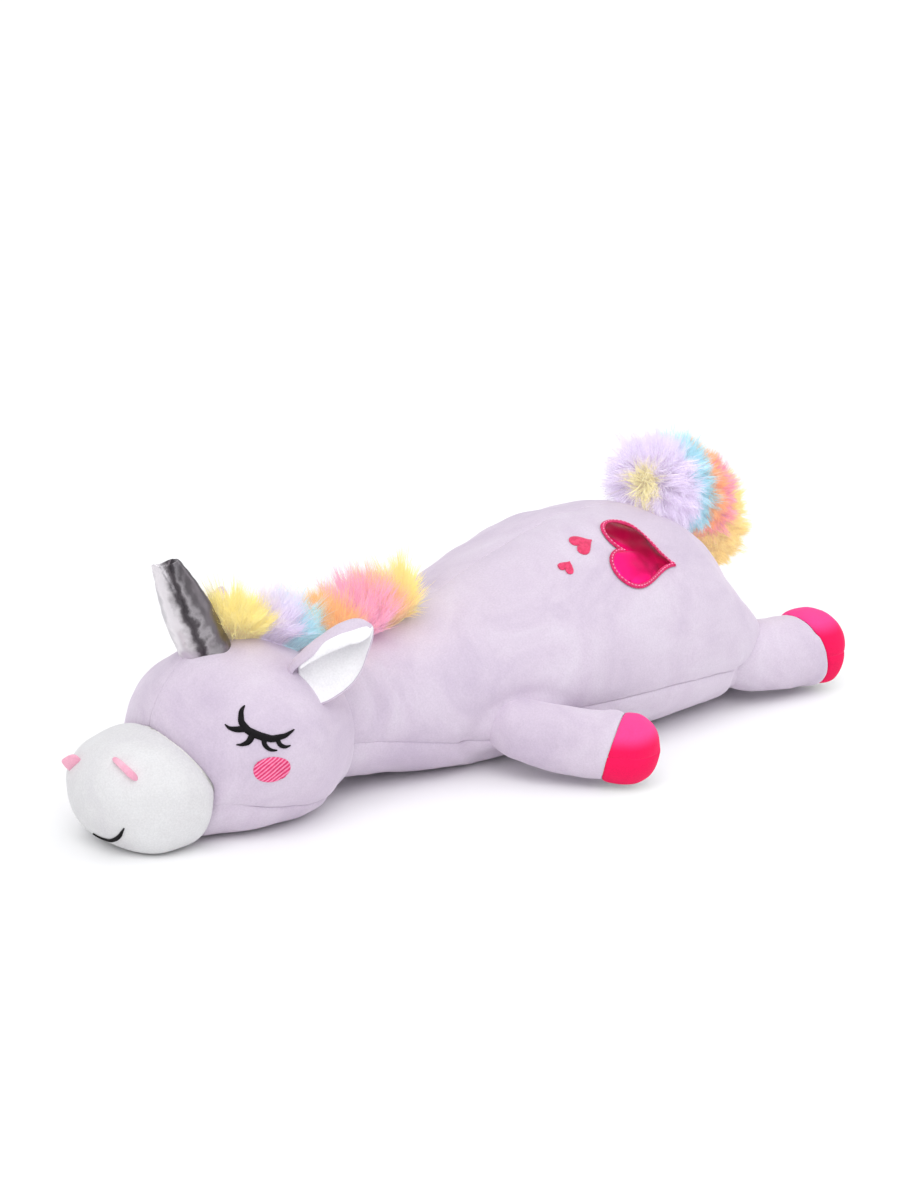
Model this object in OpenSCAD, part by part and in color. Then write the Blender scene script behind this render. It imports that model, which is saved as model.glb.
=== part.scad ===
// Sleeping plush unicorn, lying on its belly. Head towards -X, tail towards +X, millimetres, +Z up.
// Each cover panel, filling, trim and embroidery is its own solid in its own node.

/* [Fabric] */
// Thickness of the velour covers with their short pile
cover_t = 2.6; // [1.6:0.1:4]
// Clearance between a cover and the filling behind it
fill_gap = 0.4; // [0.3:0.1:1]
// Half of the sewn groove between two panels, degrees around the body
seam_half = 0.35; // [0.2:0.05:1]
// Angle from the back down to the belly seam, degrees
belly_seam = 112; // [104:1:122]
// Angle from the crown down to the chin seam, degrees
chin_seam = 116; // [106:1:126]

/* [Neck] */
// Pivot of the neck along the body
neck_x = -112; // [-116:1:-108]
// Pivot of the neck above the floor
neck_z = 48; // [46:1:50]
// Radius of the rounded end of the neck filling
neck_r = 40; // [34:0.5:41]
// Clearance of the hollow in the head around the neck end
neck_gap = 2; // [1:0.5:4]

/* [Legs] */
// Radius of a leg cover where it meets the hoof
leg_r = 25; // [22:0.5:26]
// Radius of a leg cover at its root
root_r = 22; // [16:0.5:23]
// Length of the hot pink hoof
hoof_len = 23; // [18:1:28]

/* [Horn] */
// Length of the horn
horn_len = 62; // [45:1:80]
// Half width of the horn at its base
horn_r = 18.5; // [14:0.5:20]
// Half width of the blunt tip
horn_tip = 6.2; // [4:0.1:8]
// Forward lean of the horn, degrees
horn_lean = 22; // [10:1:30]

/* [Ears] */
// Length of an ear from its sewn root to the tip
ear_len = 56; // [45:1:65]
// Half width of an ear at its widest
ear_w = 20; // [14:0.5:24]
// Depth of the folded cup of the ear
ear_cup = 8; // [4:0.5:12]

/* [Mane and tail] */
// Height of the mane pile above the neck
mane_h = 29; // [20:1:36]
// Half width of the mane strip
mane_w = 14; // [10:1:18]
// Radius of the furry tail
tail_r = 26; // [20:0.5:28]
// Radius of the stuffed core of the tail
tail_core = 13; // [9:0.5:16]

/* [Trims] */
// Scale of the large foil heart
heart_s = 1; // [0.7:0.02:1.2]
// Width of the satin edge stitch round the large heart
heart_edge = 3.2; // [2:0.2:5]
// Height of the embroidery above the velour
thread_h = 0.9; // [0.6:0.1:1.6]

/* [Hidden] */
shift_x = -7.1;
lavender = [0.88, 0.84, 0.92];
white = [0.97, 0.97, 0.98];
hot_pink = [1, 0.25, 0.58];
deep_pink = [1, 0.1, 0.37];
fibre = [0.95, 0.95, 0.93];
black = [0.08, 0.07, 0.1];
silver = [0.6, 0.6, 0.63];

// Sections along the body: position, half width, height of the widest line, rise above it, drop below it
BODY = [[-112, 43, 48, 43, 43], [-90, 47, 48, 46, 47], [-60, 55, 48, 49, 50], [-20, 67, 48, 58, 52],
  [20, 79, 50, 71, 54], [60, 88, 52, 81, 56], [100, 93, 54, 87, 58], [138, 93, 54, 87, 58],
  [172, 87, 53, 79, 57], [202, 75, 50, 64, 54], [224, 58, 46, 46, 48], [238, 40, 42, 30, 36],
  [246, 22, 39, 16, 20], [248.6, 6, 38, 5, 6],
  [249, 1, 38, 1, 1]];
HEAD = [[-242, 47, 38, 35, 44], [-236, 54, 43, 42, 50], [-222, 63, 50, 48, 56], [-198, 69.5, 53, 53, 60],
  [-168, 69, 53, 52.5, 60], [-145, 60, 51, 47, 57], [-132, 52, 50, 43, 50], [-124, 47.5, 49, 41.5, 46]];
MUZZLE = [[-288, 3, 36, 2, 2], [-285.5, 22, 36, 15, 17], [-278, 37, 36, 27, 30], [-264, 48, 36, 35, 42],
  [-250, 50.5, 36, 37, 44], [-243, 49, 36, 36.5, 43]];
// Where the ball-shaped root of each leg sits, and where its hoof ends
FRONT_ROOT = [3, -94.5, 26];
FRONT_TIP = [50, -141, 25];
HIND_ROOT = [255, -57, 26];
HIND_TIP = [301, -67, 25];
TAIL = [[229.8, 88.6, 0.3], [235, 94.5, 0.66], [239.5, 102.5, 0.88], [241, 111.5, 1], [238.5, 121.5, 1],
  [232.5, 130.5, 1], [223.5, 138, 1], [212, 144, 1], [199, 148, 1], [188, 150, 0.92], [179, 151, 0.72],
  [173.5, 151.3, 0.42], [171.3, 151.3, 0.05]];
// Extra clearance that keeps a faceted filling behind its faceted cover
facet_gap = 1.35;

function col(S, k) = [for (r = S) [r[0], r[k]]];
function cols(S) = [for (k = [1:4]) col(S, k)];
BT = cols(BODY);
HT = cols(HEAD);
MT = cols(MUZZLE);
function pw(v, p) = sign(v) * pow(abs(v), p);
// Point of a section: T table, x position, a angle from the top towards the left side, o offset outwards
function sec(T, x, a, o = 0, dx = 0) =
  let (w = lookup(x, T[0]), z = lookup(x, T[1]), hu = lookup(x, T[2]), hd = lookup(x, T[3]), c = cos(a),
    lo = c < 0, y = -max(w + o, 0.4) * pw(sin(a), lo ? 0.78 : 1),
    h = lo ? -max(hd + o, 0.4) * pow(-c, 0.92) : max(hu + o, 0.4) * c)
  [x + dx, y, max(z + h, -min(o, 0))];
// Sections are pulled in along X near a closed end, so that a wall keeps its thickness there
function inward(x, from, to, t) = (x - from) * sign(to - from) <= 0 ? 0
  : -(x - from) * t / abs(to - from);
function flat2(g) = [for (r = g) for (p = r) p];
function steps(a, b, n) = [for (i = [0:n]) a + (b - a) * i / n];

// Closed solid through a list of rings, with a fan over each end
module loft(R, flip = false) {
  n = len(R[0]);
  m = len(R);
  tri = [for (i = [0:m - 2]) for (j = [0:n - 1]) let (k = (j + 1) % n)
    each [[i * n + j, i * n + k, (i + 1) * n + k], [i * n + j, (i + 1) * n + k, (i + 1) * n + j]]];
  caps = [for (j = [0:n - 1]) let (k = (j + 1) % n) each [[m * n, k, j],
    [m * n + 1, (m - 1) * n + j, (m - 1) * n + k]]];
  mid = function (r) [for (q = [0:2]) (max([for (p = r) p[q]]) + min([for (p = r) p[q]])) / 2];
  faces = concat(tri, caps);
  polyhedron(points = concat(flat2(R), [mid(R[0]), mid(R[m - 1])]),
    faces = flip ? [for (f = faces) [f[0], f[2], f[1]]] : faces);
}
// Closed wall between an outer grid and an inner grid of points
module wall(A, B, flip = false) {
  n = len(A[0]);
  m = len(A);
  s = n * m;
  top = [for (i = [0:m - 2]) for (j = [0:n - 2]) let (a = i * n + j, b = a + 1, c = b + n, d = a + n)
    each [[a, b, c], [a, c, d], [s + a, s + c, s + b], [s + a, s + d, s + c]]];
  ends = [for (j = [0:n - 2]) let (a = j, b = j + 1, c = (m - 1) * n + j, d = c + 1)
    each [[a, s + a, s + b], [a, s + b, b], [c, d, s + d], [c, s + d, s + c]]];
  sides = [for (i = [0:m - 2]) let (a = i * n, b = a + n, c = a + n - 1, d = c + n)
    each [[a, b, s + b], [a, s + b, s + a], [c, s + c, s + d], [c, s + d, d]]];
  faces = concat(top, ends, sides);
  polyhedron(points = concat(flat2(A), flat2(B)),
    faces = flip ? [for (f = faces) [f[0], f[2], f[1]]] : faces);
}
module placed() {
  translate([shift_x, 0, 0]) children();
}
module mirrored(right) {
  mirror([0, right ? 1 : 0, 0]) children();
}

// Body -----------------------------------------------------------------------------------------
BODY_X = [-112, -90, -60, -40, -20, 0, 20, 40, 60, 80, 100, 119, 138, 155, 172, 187, 202, 213,
  224, 231, 238, 243, 246, 248, 248.9];
BODY_TO = 249;
function body_grid(a0, a1, n, o) = [for (x = BODY_X)
  [for (a = steps(a0, a1, n)) sec(BT, x, a, o, inward(x, 150, BODY_TO, -o))]];
module body_wall(a0, a1, n) {
  placed() wall(body_grid(a0, a1, n, 0), body_grid(a0, a1, n, -cover_t));
}
module body_left_panel() {
  color(lavender) body_wall(seam_half, belly_seam - seam_half, 11);
}
module body_right_panel() {
  color(lavender) body_wall(360 - belly_seam + seam_half, 360 - seam_half, 11);
}
module belly_panel() {
  color(lavender) body_wall(belly_seam + seam_half, 360 - belly_seam - seam_half, 10);
}
module belly_closing_seam() {
  color(lavender) placed() translate([112, 0, cover_t + fill_gap * 0.25])
    cube([74, 1.2, fill_gap * 0.5], center = true);
}
// Ball-shaped end: rings of a sphere in front of the neck pivot
function ball_rings(r, angles) = [for (p = angles)
  [for (j = [0:23]) [neck_x - r * sin(p), -r * cos(p) * sin(j * 15), neck_z + r * cos(p) * cos(j * 15)]]];
module body_filling() {
  o = -cover_t - fill_gap - facet_gap;
  color(fibre) placed() loft(concat(ball_rings(neck_r - 0.3, [89, 72, 54, 36, 18]),
    [for (x = [for (q = BODY_X) if (q < 247) q])
      [for (a = steps(0, 345, 23)) sec(BT, x, a, o, inward(x, 150, BODY_TO, -o))]]));
}

// Head -----------------------------------------------------------------------------------------
HEAD_X = [-242, -236, -229, -222, -210, -198, -183, -168, -156, -145, -138, -132, -124];
MUZZLE_X = [-287.5, -285.5, -282, -278, -271, -264, -257, -250, -243];
function head_grid(a0, a1, n, o) = [for (x = HEAD_X) [for (a = steps(a0, a1, n)) sec(HT, x, a, o)]];
module head_wall(a0, a1, n) {
  placed() wall(head_grid(a0, a1, n, 0), head_grid(a0, a1, n, -cover_t));
}
module head_left_panel() {
  color(lavender) head_wall(seam_half, chin_seam - seam_half, 11);
}
module head_right_panel() {
  color(lavender) head_wall(360 - chin_seam + seam_half, 360 - seam_half, 11);
}
module chin_panel() {
  color(lavender) head_wall(chin_seam + seam_half, 360 - chin_seam - seam_half, 9);
}
function muzzle_grid(n, o) = [for (x = MUZZLE_X)
  [for (a = steps(0, 360, n)) sec(MT, x, a, o, inward(x, -258, -288, -o))]];
module muzzle_cover() {
  color(white) placed() wall_ring(muzzle_grid(24, 0), muzzle_grid(24, -cover_t));
}
// Wall whose columns run right round and meet, closed at the pole end by fans
module wall_ring(A, B) {
  n = len(A[0]) - 1;
  m = len(A);
  ra = [for (i = [0:m - 1]) [for (j = [0:n - 1]) A[i][j]]];
  rb = [for (i = [m - 1:-1:0]) [for (j = [0:n - 1]) B[i][j]]];
  loft(concat(ra, rb), false);
}
module head_filling() {
  o = -cover_t - fill_gap - facet_gap;
  r = neck_r + neck_gap;
  p0 = acos(36 / r);
  color(fibre) placed() loft(concat(
    [for (x = [-285.5, -282, -278, -271, -264, -257, -250])
      [for (a = steps(0, 345, 23)) sec(MT, x, a, o, inward(x, -258, -288, -o))]],
    [for (x = [-246, -243]) [for (a = steps(0, 345, 23)) sec(MT, x, a, o - 2.6)]],
    [[for (a = steps(0, 345, 23)) sec(HT, -241, a, o - 1)]],
    [for (x = [for (q = HEAD_X) if (q > -240 && q < -125) q]) [for (a = steps(0, 345, 23)) sec(HT, x, a, o)]],
    [for (p = [p0, 40, 52, 64, 77, 89])
      [for (j = [0:23]) [neck_x - r * sin(p), -r * cos(p) * sin(j * 15), neck_z + r * cos(p) * cos(j * 15)]]]));
}

// Trims that follow a surface --------------------------------------------------------------------
// Pillow over an outline given in (x, angle) offsets round a centre
module patch(T, c, outline, o0, o1) {
  k = [0.02, 0.36, 0.7, 1];
  rings = concat([for (s = k) [for (q = outline) sec(T, c[0] + q[0] * s, c[1] + q[1] * s, o0)]],
    [for (i = [3:-1:0]) [for (q = outline) sec(T, c[0] + q[0] * k[i], c[1] + q[1] * k[i], o1)]]);
  placed() loft(rings);
}
// Satin-stitched ribbon along a path of (x, angle, half width), square in section
module ribbon(T, path, o0, o1) {
  m = len(path) - 1;
  rings = [for (i = [0:m]) let (a = path[max(i - 1, 0)], b = path[min(i + 1, m)],
      R = 1.15, d = [b[0] - a[0], (b[1] - a[1]) * R], l = norm(d), q = path[i],
      nx = -d[1] / l * q[2], na = d[0] / l * q[2] / R)
    [sec(T, q[0] + nx, q[1] + na, o0), sec(T, q[0] - nx, q[1] - na, o0),
     sec(T, q[0] - nx, q[1] - na, o1), sec(T, q[0] + nx, q[1] + na, o1)]];
  placed() loft(rings, true);
}
EYE = [[-206.5, 46.5, 0.7], [-209.5, 50, 1.4], [-212, 54.5, 1.9], [-211.5, 60, 2.2], [-208.5, 65.5, 2.4],
  [-204, 69.5, 2.5], [-198.5, 72, 2.4], [-192, 73, 2], [-187, 72.5, 1.4], [-183, 71.2, 0.6]];
LASHES = [[[-211.5, 58.5, 1.7], [-216, 58, 1.3], [-220, 56.5, 0.9], [-223.5, 54, 0.4]],
  [[-208.8, 65, 1.7], [-213, 66.8, 1.3], [-217, 68, 0.9], [-221, 69, 0.4]],
  [[-203.5, 70.5, 1.6], [-203.5, 74.5, 1.2], [-202, 78, 0.8], [-199.5, 81.5, 0.4]],
  [[-195.5, 73, 1.5], [-194.8, 76, 1.1], [-192.5, 79, 0.7], [-189.5, 81, 0.4]]];
module eye() {
  color(black) ribbon(HT, EYE, 0.5, thread_h + 0.5);
  for (l = LASHES) color(black) ribbon(HT, l, 0.5, thread_h + 0.35);
}
module eye_left() {
  eye();
}
module eye_right() {
  mirrored(true) eye();
}
function oval(a, b, n) = [for (j = [0:n - 1]) [a * cos(j * 360 / n), b * sin(j * 360 / n)]];
module cheek() {
  color(hot_pink) patch(HT, [-203, 92], oval(14.5, 6.6, 20), 0.35, thread_h + 0.35);
}
module cheek_left() {
  cheek();
}
module cheek_right() {
  mirrored(true) cheek();
}
// Smile on the front of the muzzle: a bowed bar lying just off the cover
smile_w = 26;
smile_z = 13;
smile_rise = 9;
module mouth_stitching() {
  lift = 1.2;
  pts = [for (t = steps(-1, 1, 12)) let (y = t * smile_w, z = smile_z + smile_rise * t * t)
    [min(muzzle_x(y, z - 2), muzzle_x(y, z + 2)) - lift, y, z]];
  rings = [for (i = [0:12]) let (h = 0.5 + 1.4 * (1 - pow(abs(i - 6) / 6, 2)), p = pts[i])
    [[p[0], p[1], p[2] - h], [p[0] - thread_h, p[1], p[2] - h],
     [p[0] - thread_h, p[1], p[2] + h], [p[0], p[1], p[2] + h]]];
  color(black) placed() loft(rings, true);
}
// Front of the muzzle at a given width and height
function muzzle_x(y, z) = let (s = [for (r = MUZZLE) let (lo = z < r[2], q = lo ? r[4] : r[3],
    u = pow(abs(y) / r[1], 2 / (lo ? 0.78 : 1)), v = pow(abs(z - r[2]) / q, 2 / (lo ? 0.92 : 1)))
  [sqrt(u + v), r[0]]],
  t = [for (i = [len(s) - 1:-1:0]) [s[i][0], s[i][1]]]) lookup(1, t);
// Folded pink tab standing proud of the muzzle
module nostril() {
  a = sec(MT, -279.5, 24, 0);
  b = sec(MT, -275.5, 52, 0);
  up = [-0.72, -0.35, 0.6];
  rings = [for (i = [0:6]) let (t = i / 6, p = a + (b - a) * t, w = 1.9 * sqrt(max(1 - pow(2 * t - 1, 4), 0.05)),
      h = 4.2 * sqrt(max(1 - pow(2 * t - 1, 4), 0.04)) + 0.8, v = [0.55, 0, 0.83])
    [p + up * 1.9 - v * w, p + up * 1.9 + v * w, p + up * (1.9 + h * 0.75) + v * w * 0.8,
     p + up * (1.9 + h), p + up * (1.9 + h * 0.75) - v * w * 0.8]];
  color([0.95, 0.64, 0.76]) placed() loft(rings, false);
}
module nostril_left() {
  nostril();
}
module nostril_right() {
  mirrored(true) nostril();
}

// Horn -------------------------------------------------------------------------------------------
HORN_X = -197;
HORN_Z = 105.5;
horn_t = 1.2;
function horn_ring(s, o, n = 20) = let (r = horn_r + (horn_tip - horn_r) * pow(s, 0.9) + o, q = 0.88 - 0.3 * s,
    cx = HORN_X - sin(horn_lean) * horn_len * s, cz = HORN_Z + cos(horn_lean) * horn_len * s)
  [for (j = [0:n - 1]) let (a = j * 360 / n, u = r * cos(a), v = r * q * sin(a),
    x = cx + u * cos(horn_lean), y = v)
    [x, y, s > 0.001 ? cz + u * sin(horn_lean) : sec(HT, x, asin(min(abs(y) / 69, 1)), 0)[2] + 0.7 - o * 0.2]];
module horn_cover() {
  color(silver) placed() loft(concat([for (s = [0.94, 0.85, 0.7, 0.5, 0.3, 0.12, 0]) horn_ring(s, -horn_t)],
    [for (s = [0, 0.12, 0.3, 0.5, 0.7, 0.85, 0.95, 1]) horn_ring(s, 0)], [horn_ring(1.012, -2.2)]));
}
module horn_filling() {
  t = horn_t + fill_gap;
  color(fibre) placed() loft(concat([for (r = [-16, -12, -8, -4]) horn_ring(0, r)],
    [for (s = [0, 0.12, 0.3, 0.5, 0.7, 0.85]) horn_ring(s, -t)], [horn_ring(0.9, -t - 2)]));
}

// Ears -------------------------------------------------------------------------------------------
EAR_ROOT = [-152, -46.3, 87.3];
EAR_DIR = [0.58, -0.42, 0.70];
EAR_SIDE = [0.35, 0.81, 0.46];
function unit(v) = v / norm(v);
function ear_frame() = let (e1 = unit(EAR_DIR), e2 = unit(EAR_SIDE - (EAR_SIDE * e1) * e1), e3 = cross(e1, e2))
  [e1, e2, e3];
// Leaf surface: u along the ear, v across, o offset towards the open front of the ear
function ear_pt(u, v, o) = let (f = ear_frame(),
    w = ear_w * (0.72 + 0.9 * u - 1.58 * u * u) * (u > 0.8 ? sqrt(max(1 - pow((u - 0.8) / 0.21, 2), 0.01)) : 1),
    cup = ear_cup * (1 - 0.5 * u) * (1 - v * v))
  EAR_ROOT + f[0] * (3 + ear_len * u) + f[1] * (w * v * (1 + o * 0.004)) + f[2] * (o - cup + 2);
function ear_grid(o, k) = [for (u = [0, 0.12, 0.25, 0.4, 0.55, 0.7, 0.8, 0.9, 0.97, 1])
  [for (v = steps(-1, 1, 8)) ear_pt(u * k + (1 - k) * 0.3, v * k, o)]];
module ear_outer() {
  color(lavender) placed() wall(ear_grid(0, 1), ear_grid(-2.2, 1), true);
}
module ear_lining() {
  color(white) placed() wall(ear_grid(2.2, 0.94), ear_grid(0.6, 0.94), true);
}
module ear_left_outer() {
  ear_outer();
}
module ear_left_lining() {
  ear_lining();
}
module ear_right_outer() {
  mirrored(true) ear_outer();
}
module ear_right_lining() {
  mirrored(true) ear_lining();
}

// Mane -------------------------------------------------------------------------------------------
// Strip of fur on the ridge: flat arc follows the cover, round arc is the pile
module mane(T, xs) {
  m = len(xs) - 1;
  rings = [for (i = [0:m]) let (x = xs[i], t = i / m, e = pow(max(1 - pow(2 * t - 1, 6), 0.02), 0.5))
    [for (j = [0:15]) let (b = j * 22.5, y = mane_w * e * cos(b), w = lookup(x, T[0]),
      g = sec(T, x, asin(abs(y) / w), 0.5)[2])
      [x, y, sin(b) > 0.01 ? g + (mane_h * (0.55 + 0.45 * e)) * sin(b) : g]]];
  color([0.98, 0.8, 0.6]) placed() loft(rings, true);
}
module mane_front() {
  mane(HT, [-177, -175, -172, -168, -160, -152, -145, -139, -134, -131, -129]);
}
module mane_rear() {
  mane(BT, [-104, -102, -98, -93, -84, -75, -66, -56, -46, -40, -35, -32, -30]);
}

// Hearts -----------------------------------------------------------------------------------------
// Heart outline in millimetres across and along, point towards +u
function heart(s, n) = [for (j = [0:n - 1]) let (t = j * 360 / n, h = 16 * pow(sin(t), 3),
    v = 13 * cos(t) - 5 * cos(2 * t) - 2 * cos(3 * t) - cos(4 * t)) [-(v + 3.5) * s, h * s]];
// The outline turned on the flank and turned into (x, angle) offsets
function on_flank(pts, turn, rad) = [for (p = pts) let (u = p[0] * cos(turn) - p[1] * sin(turn),
    v = p[0] * sin(turn) + p[1] * cos(turn)) [u, v / rad * 57.3]];
BIG = [115.8, 40];
BIG_TURN = 28.7;
BIG_RAD = 88;
foil_s = 1.6 * heart_s;
module heart_foil() {
  color([0.8, 0.06, 0.3]) patch(BT, BIG, on_flank(heart(foil_s, 32), BIG_TURN, BIG_RAD), 0.55, 1.6);
}
module heart_edge_stitching() {
  a = on_flank(heart(foil_s * 1.025, 40), BIG_TURN, BIG_RAD);
  b = on_flank(heart(foil_s * 1.025 + heart_edge / 16, 40), BIG_TURN, BIG_RAD);
  n = 40;
  pt = function (q, o) sec(BT, BIG[0] + q[0], BIG[1] + q[1], o);
  rings = [for (j = [0:n - 1]) [pt(a[j], 0.35), pt(b[j], 0.35), pt(b[j], 1.3), pt(a[j], 1.9)]];
  color([1, 0.1, 0.5]) placed() closed_band(rings);
}
// Band whose square sections run right round and meet
module closed_band(R) {
  n = len(R[0]);
  m = len(R);
  polyhedron(points = flat2(R), faces = [for (i = [0:m - 1]) for (j = [0:n - 1])
    let (k = (j + 1) % n, i2 = (i + 1) % m)
    each [[i * n + j, i2 * n + k, i * n + k], [i * n + j, i2 * n + j, i2 * n + k]]]);
}
module small_heart(c, s, turn) {
  color([0.94, 0.26, 0.48]) patch(BT, c, on_flank(heart(s, 18), turn, 86), 0.35, thread_h + 0.35);
}
module small_heart_rear() {
  small_heart([80.8, 25.4], 0.52, 5);
}
module small_heart_front() {
  small_heart([59.2, 31.7], 0.37, -26);
}

// Legs -------------------------------------------------------------------------------------------
// Rings of a leg: p root, q tip; list of (distance from the root, radius)
function leg_rings(p, q, prof, n, a0 = 0, a1 = 360, low = 0) = let (h = unit([q[0] - p[0], q[1] - p[1], 0]),
    l = norm([q[0] - p[0], q[1] - p[1]]), s = [-h[1], h[0], 0], closed = a1 - a0 > 359)
  [for (r = prof) let (c = [p[0] + h[0] * r[0], p[1] + h[1] * r[0], p[2] + (q[2] - p[2]) * r[0] / l])
    [for (j = [0:closed ? n - 1 : n]) let (a = a0 + (a1 - a0) * j / n, v = c + s * (r[1] * cos(a)))
      [v[0], v[1], max(c[2] + r[1] * sin(a), low)]]];
function span(p, q) = norm([q[0] - p[0], q[1] - p[1]]);
function leg_outer(l) = [[-4, root_r * 0.98], [3, root_r], [12, root_r + (leg_r - root_r) * 0.4],
  [(l - hoof_len) * 0.6 + 6, root_r + (leg_r - root_r) * 0.8], [l - hoof_len - 6, leg_r * 0.985], [l - hoof_len, leg_r]];
function dome(l, r, t) = [for (f = [0.02, 0.2, 0.42, 0.62, 0.79, 0.91, 0.98, 1])
  [l - hoof_len + (hoof_len - t) * f, max((r - t) * sqrt(max(1 - pow(f, 2.4), 0)), 0.6)]];
function thinner(prof, t) = [for (r = prof) [r[0], r[1] - t]];
module leg_cover(p, q) {
  l = span(p, q);
  a = leg_rings(p, q, leg_outer(l), 22);
  b = leg_rings(p, q, thinner(leg_outer(l), cover_t), 22, low = cover_t);
  color(lavender) placed() ring_wall(a, b);
}
// Tube wall open at both ends
module ring_wall(A, B) {
  closed_band(concat(A, [for (i = [len(B) - 1:-1:0]) B[i]]));
}
module hoof(p, q, a0, a1) {
  l = span(p, q);
  e = 1.2;
  a = leg_rings(p, q, dome(l, leg_r, 0), 9, a0 + e, a1 - e);
  b = leg_rings(p, q, dome(l, leg_r, cover_t), 9, a0 + e, a1 - e, low = cover_t);
  placed() wall(a, b);
}
module hoof_upper(p, q) {
  color(hot_pink) hoof(p, q, 0, 180);
}
module hoof_lower(p, q) {
  color(deep_pink) hoof(p, q, 180, 360);
}
module leg_filling(p, q) {
  l = span(p, q);
  t = cover_t + fill_gap + 0.5;
  br = root_r - t - 1;
  ball = [for (g = [88, 68, 48, 28, 16]) [-br * sin(g), br * cos(g)]];
  prof = concat(ball, [for (r = leg_outer(l)) if (r[0] > 0 && r[0] < l - hoof_len) [r[0], r[1] - t]],
    dome(l, leg_r, t));
  color(fibre) placed() loft(leg_rings(p, q, prof, 16, low = t));
}
module leg_front_left_cover() {
  leg_cover(FRONT_ROOT, FRONT_TIP);
}
module leg_front_left_hoof_upper() {
  hoof_upper(FRONT_ROOT, FRONT_TIP);
}
module leg_front_left_hoof_lower() {
  hoof_lower(FRONT_ROOT, FRONT_TIP);
}
module leg_front_left_filling() {
  leg_filling(FRONT_ROOT, FRONT_TIP);
}
module leg_front_right_cover() {
  mirrored(true) leg_cover(FRONT_ROOT, FRONT_TIP);
}
module leg_front_right_hoof_upper() {
  mirrored(true) hoof_upper(FRONT_ROOT, FRONT_TIP);
}
module leg_front_right_hoof_lower() {
  mirrored(true) hoof_lower(FRONT_ROOT, FRONT_TIP);
}
module leg_front_right_filling() {
  mirrored(true) leg_filling(FRONT_ROOT, FRONT_TIP);
}
module leg_hind_left_cover() {
  leg_cover(HIND_ROOT, HIND_TIP);
}
module leg_hind_left_hoof_upper() {
  hoof_upper(HIND_ROOT, HIND_TIP);
}
module leg_hind_left_hoof_lower() {
  hoof_lower(HIND_ROOT, HIND_TIP);
}
module leg_hind_left_filling() {
  leg_filling(HIND_ROOT, HIND_TIP);
}
module leg_hind_right_cover() {
  mirrored(true) leg_cover(HIND_ROOT, HIND_TIP);
}
module leg_hind_right_hoof_upper() {
  mirrored(true) hoof_upper(HIND_ROOT, HIND_TIP);
}
module leg_hind_right_hoof_lower() {
  mirrored(true) hoof_lower(HIND_ROOT, HIND_TIP);
}
module leg_hind_right_filling() {
  mirrored(true) leg_filling(HIND_ROOT, HIND_TIP);
}

// Tail -------------------------------------------------------------------------------------------
function tail_dir(i) = let (a = TAIL[max(i - 1, 0)], b = TAIL[min(i + 1, len(TAIL) - 1)]) unit([b[0] - a[0], b[1] - a[1]]);
function tail_ring(i, r) = let (d = tail_dir(i), c = TAIL[i])
  [for (j = [0:17]) let (a = j * 20) [c[0] - d[1] * r * cos(a), r * sin(a), c[1] + d[0] * r * cos(a)]];
module tail_cover() {
  deep = len(TAIL) - 4;
  outer = [for (i = [0:len(TAIL) - 1]) tail_ring(i, tail_r * TAIL[i][2])];
  inner = [for (i = [deep:-1:1]) tail_ring(i, (tail_core + fill_gap) * (i == 1 ? 0.8 : i == deep ? 0.6 : 1))];
  color([0.85, 0.79, 0.9]) placed() loft(concat(inner, outer), true);
}
module tail_filling() {
  color(fibre) placed() loft([for (i = [1:len(TAIL) - 5]) tail_ring(i, tail_core * (i == 1 ? 0.7 : i == 2 ? 0.94 : 1))], true);
}

body_left_panel();
body_right_panel();
belly_panel();
belly_closing_seam();
body_filling();
head_left_panel();
head_right_panel();
chin_panel();
muzzle_cover();
head_filling();
nostril_left();
nostril_right();
mouth_stitching();
eye_left();
eye_right();
cheek_left();
cheek_right();
horn_cover();
horn_filling();
ear_left_outer();
ear_left_lining();
ear_right_outer();
ear_right_lining();
mane_front();
mane_rear();
heart_foil();
heart_edge_stitching();
small_heart_front();
small_heart_rear();
leg_front_left_cover();
leg_front_left_hoof_upper();
leg_front_left_hoof_lower();
leg_front_left_filling();
leg_front_right_cover();
leg_front_right_hoof_upper();
leg_front_right_hoof_lower();
leg_front_right_filling();
leg_hind_left_cover();
leg_hind_left_hoof_upper();
leg_hind_left_hoof_lower();
leg_hind_left_filling();
leg_hind_right_cover();
leg_hind_right_hoof_upper();
leg_hind_right_hoof_lower();
leg_hind_right_filling();
tail_cover();
tail_filling();
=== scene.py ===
import math

import bpy
import numpy as np
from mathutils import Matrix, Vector
from mathutils.kdtree import KDTree


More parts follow.
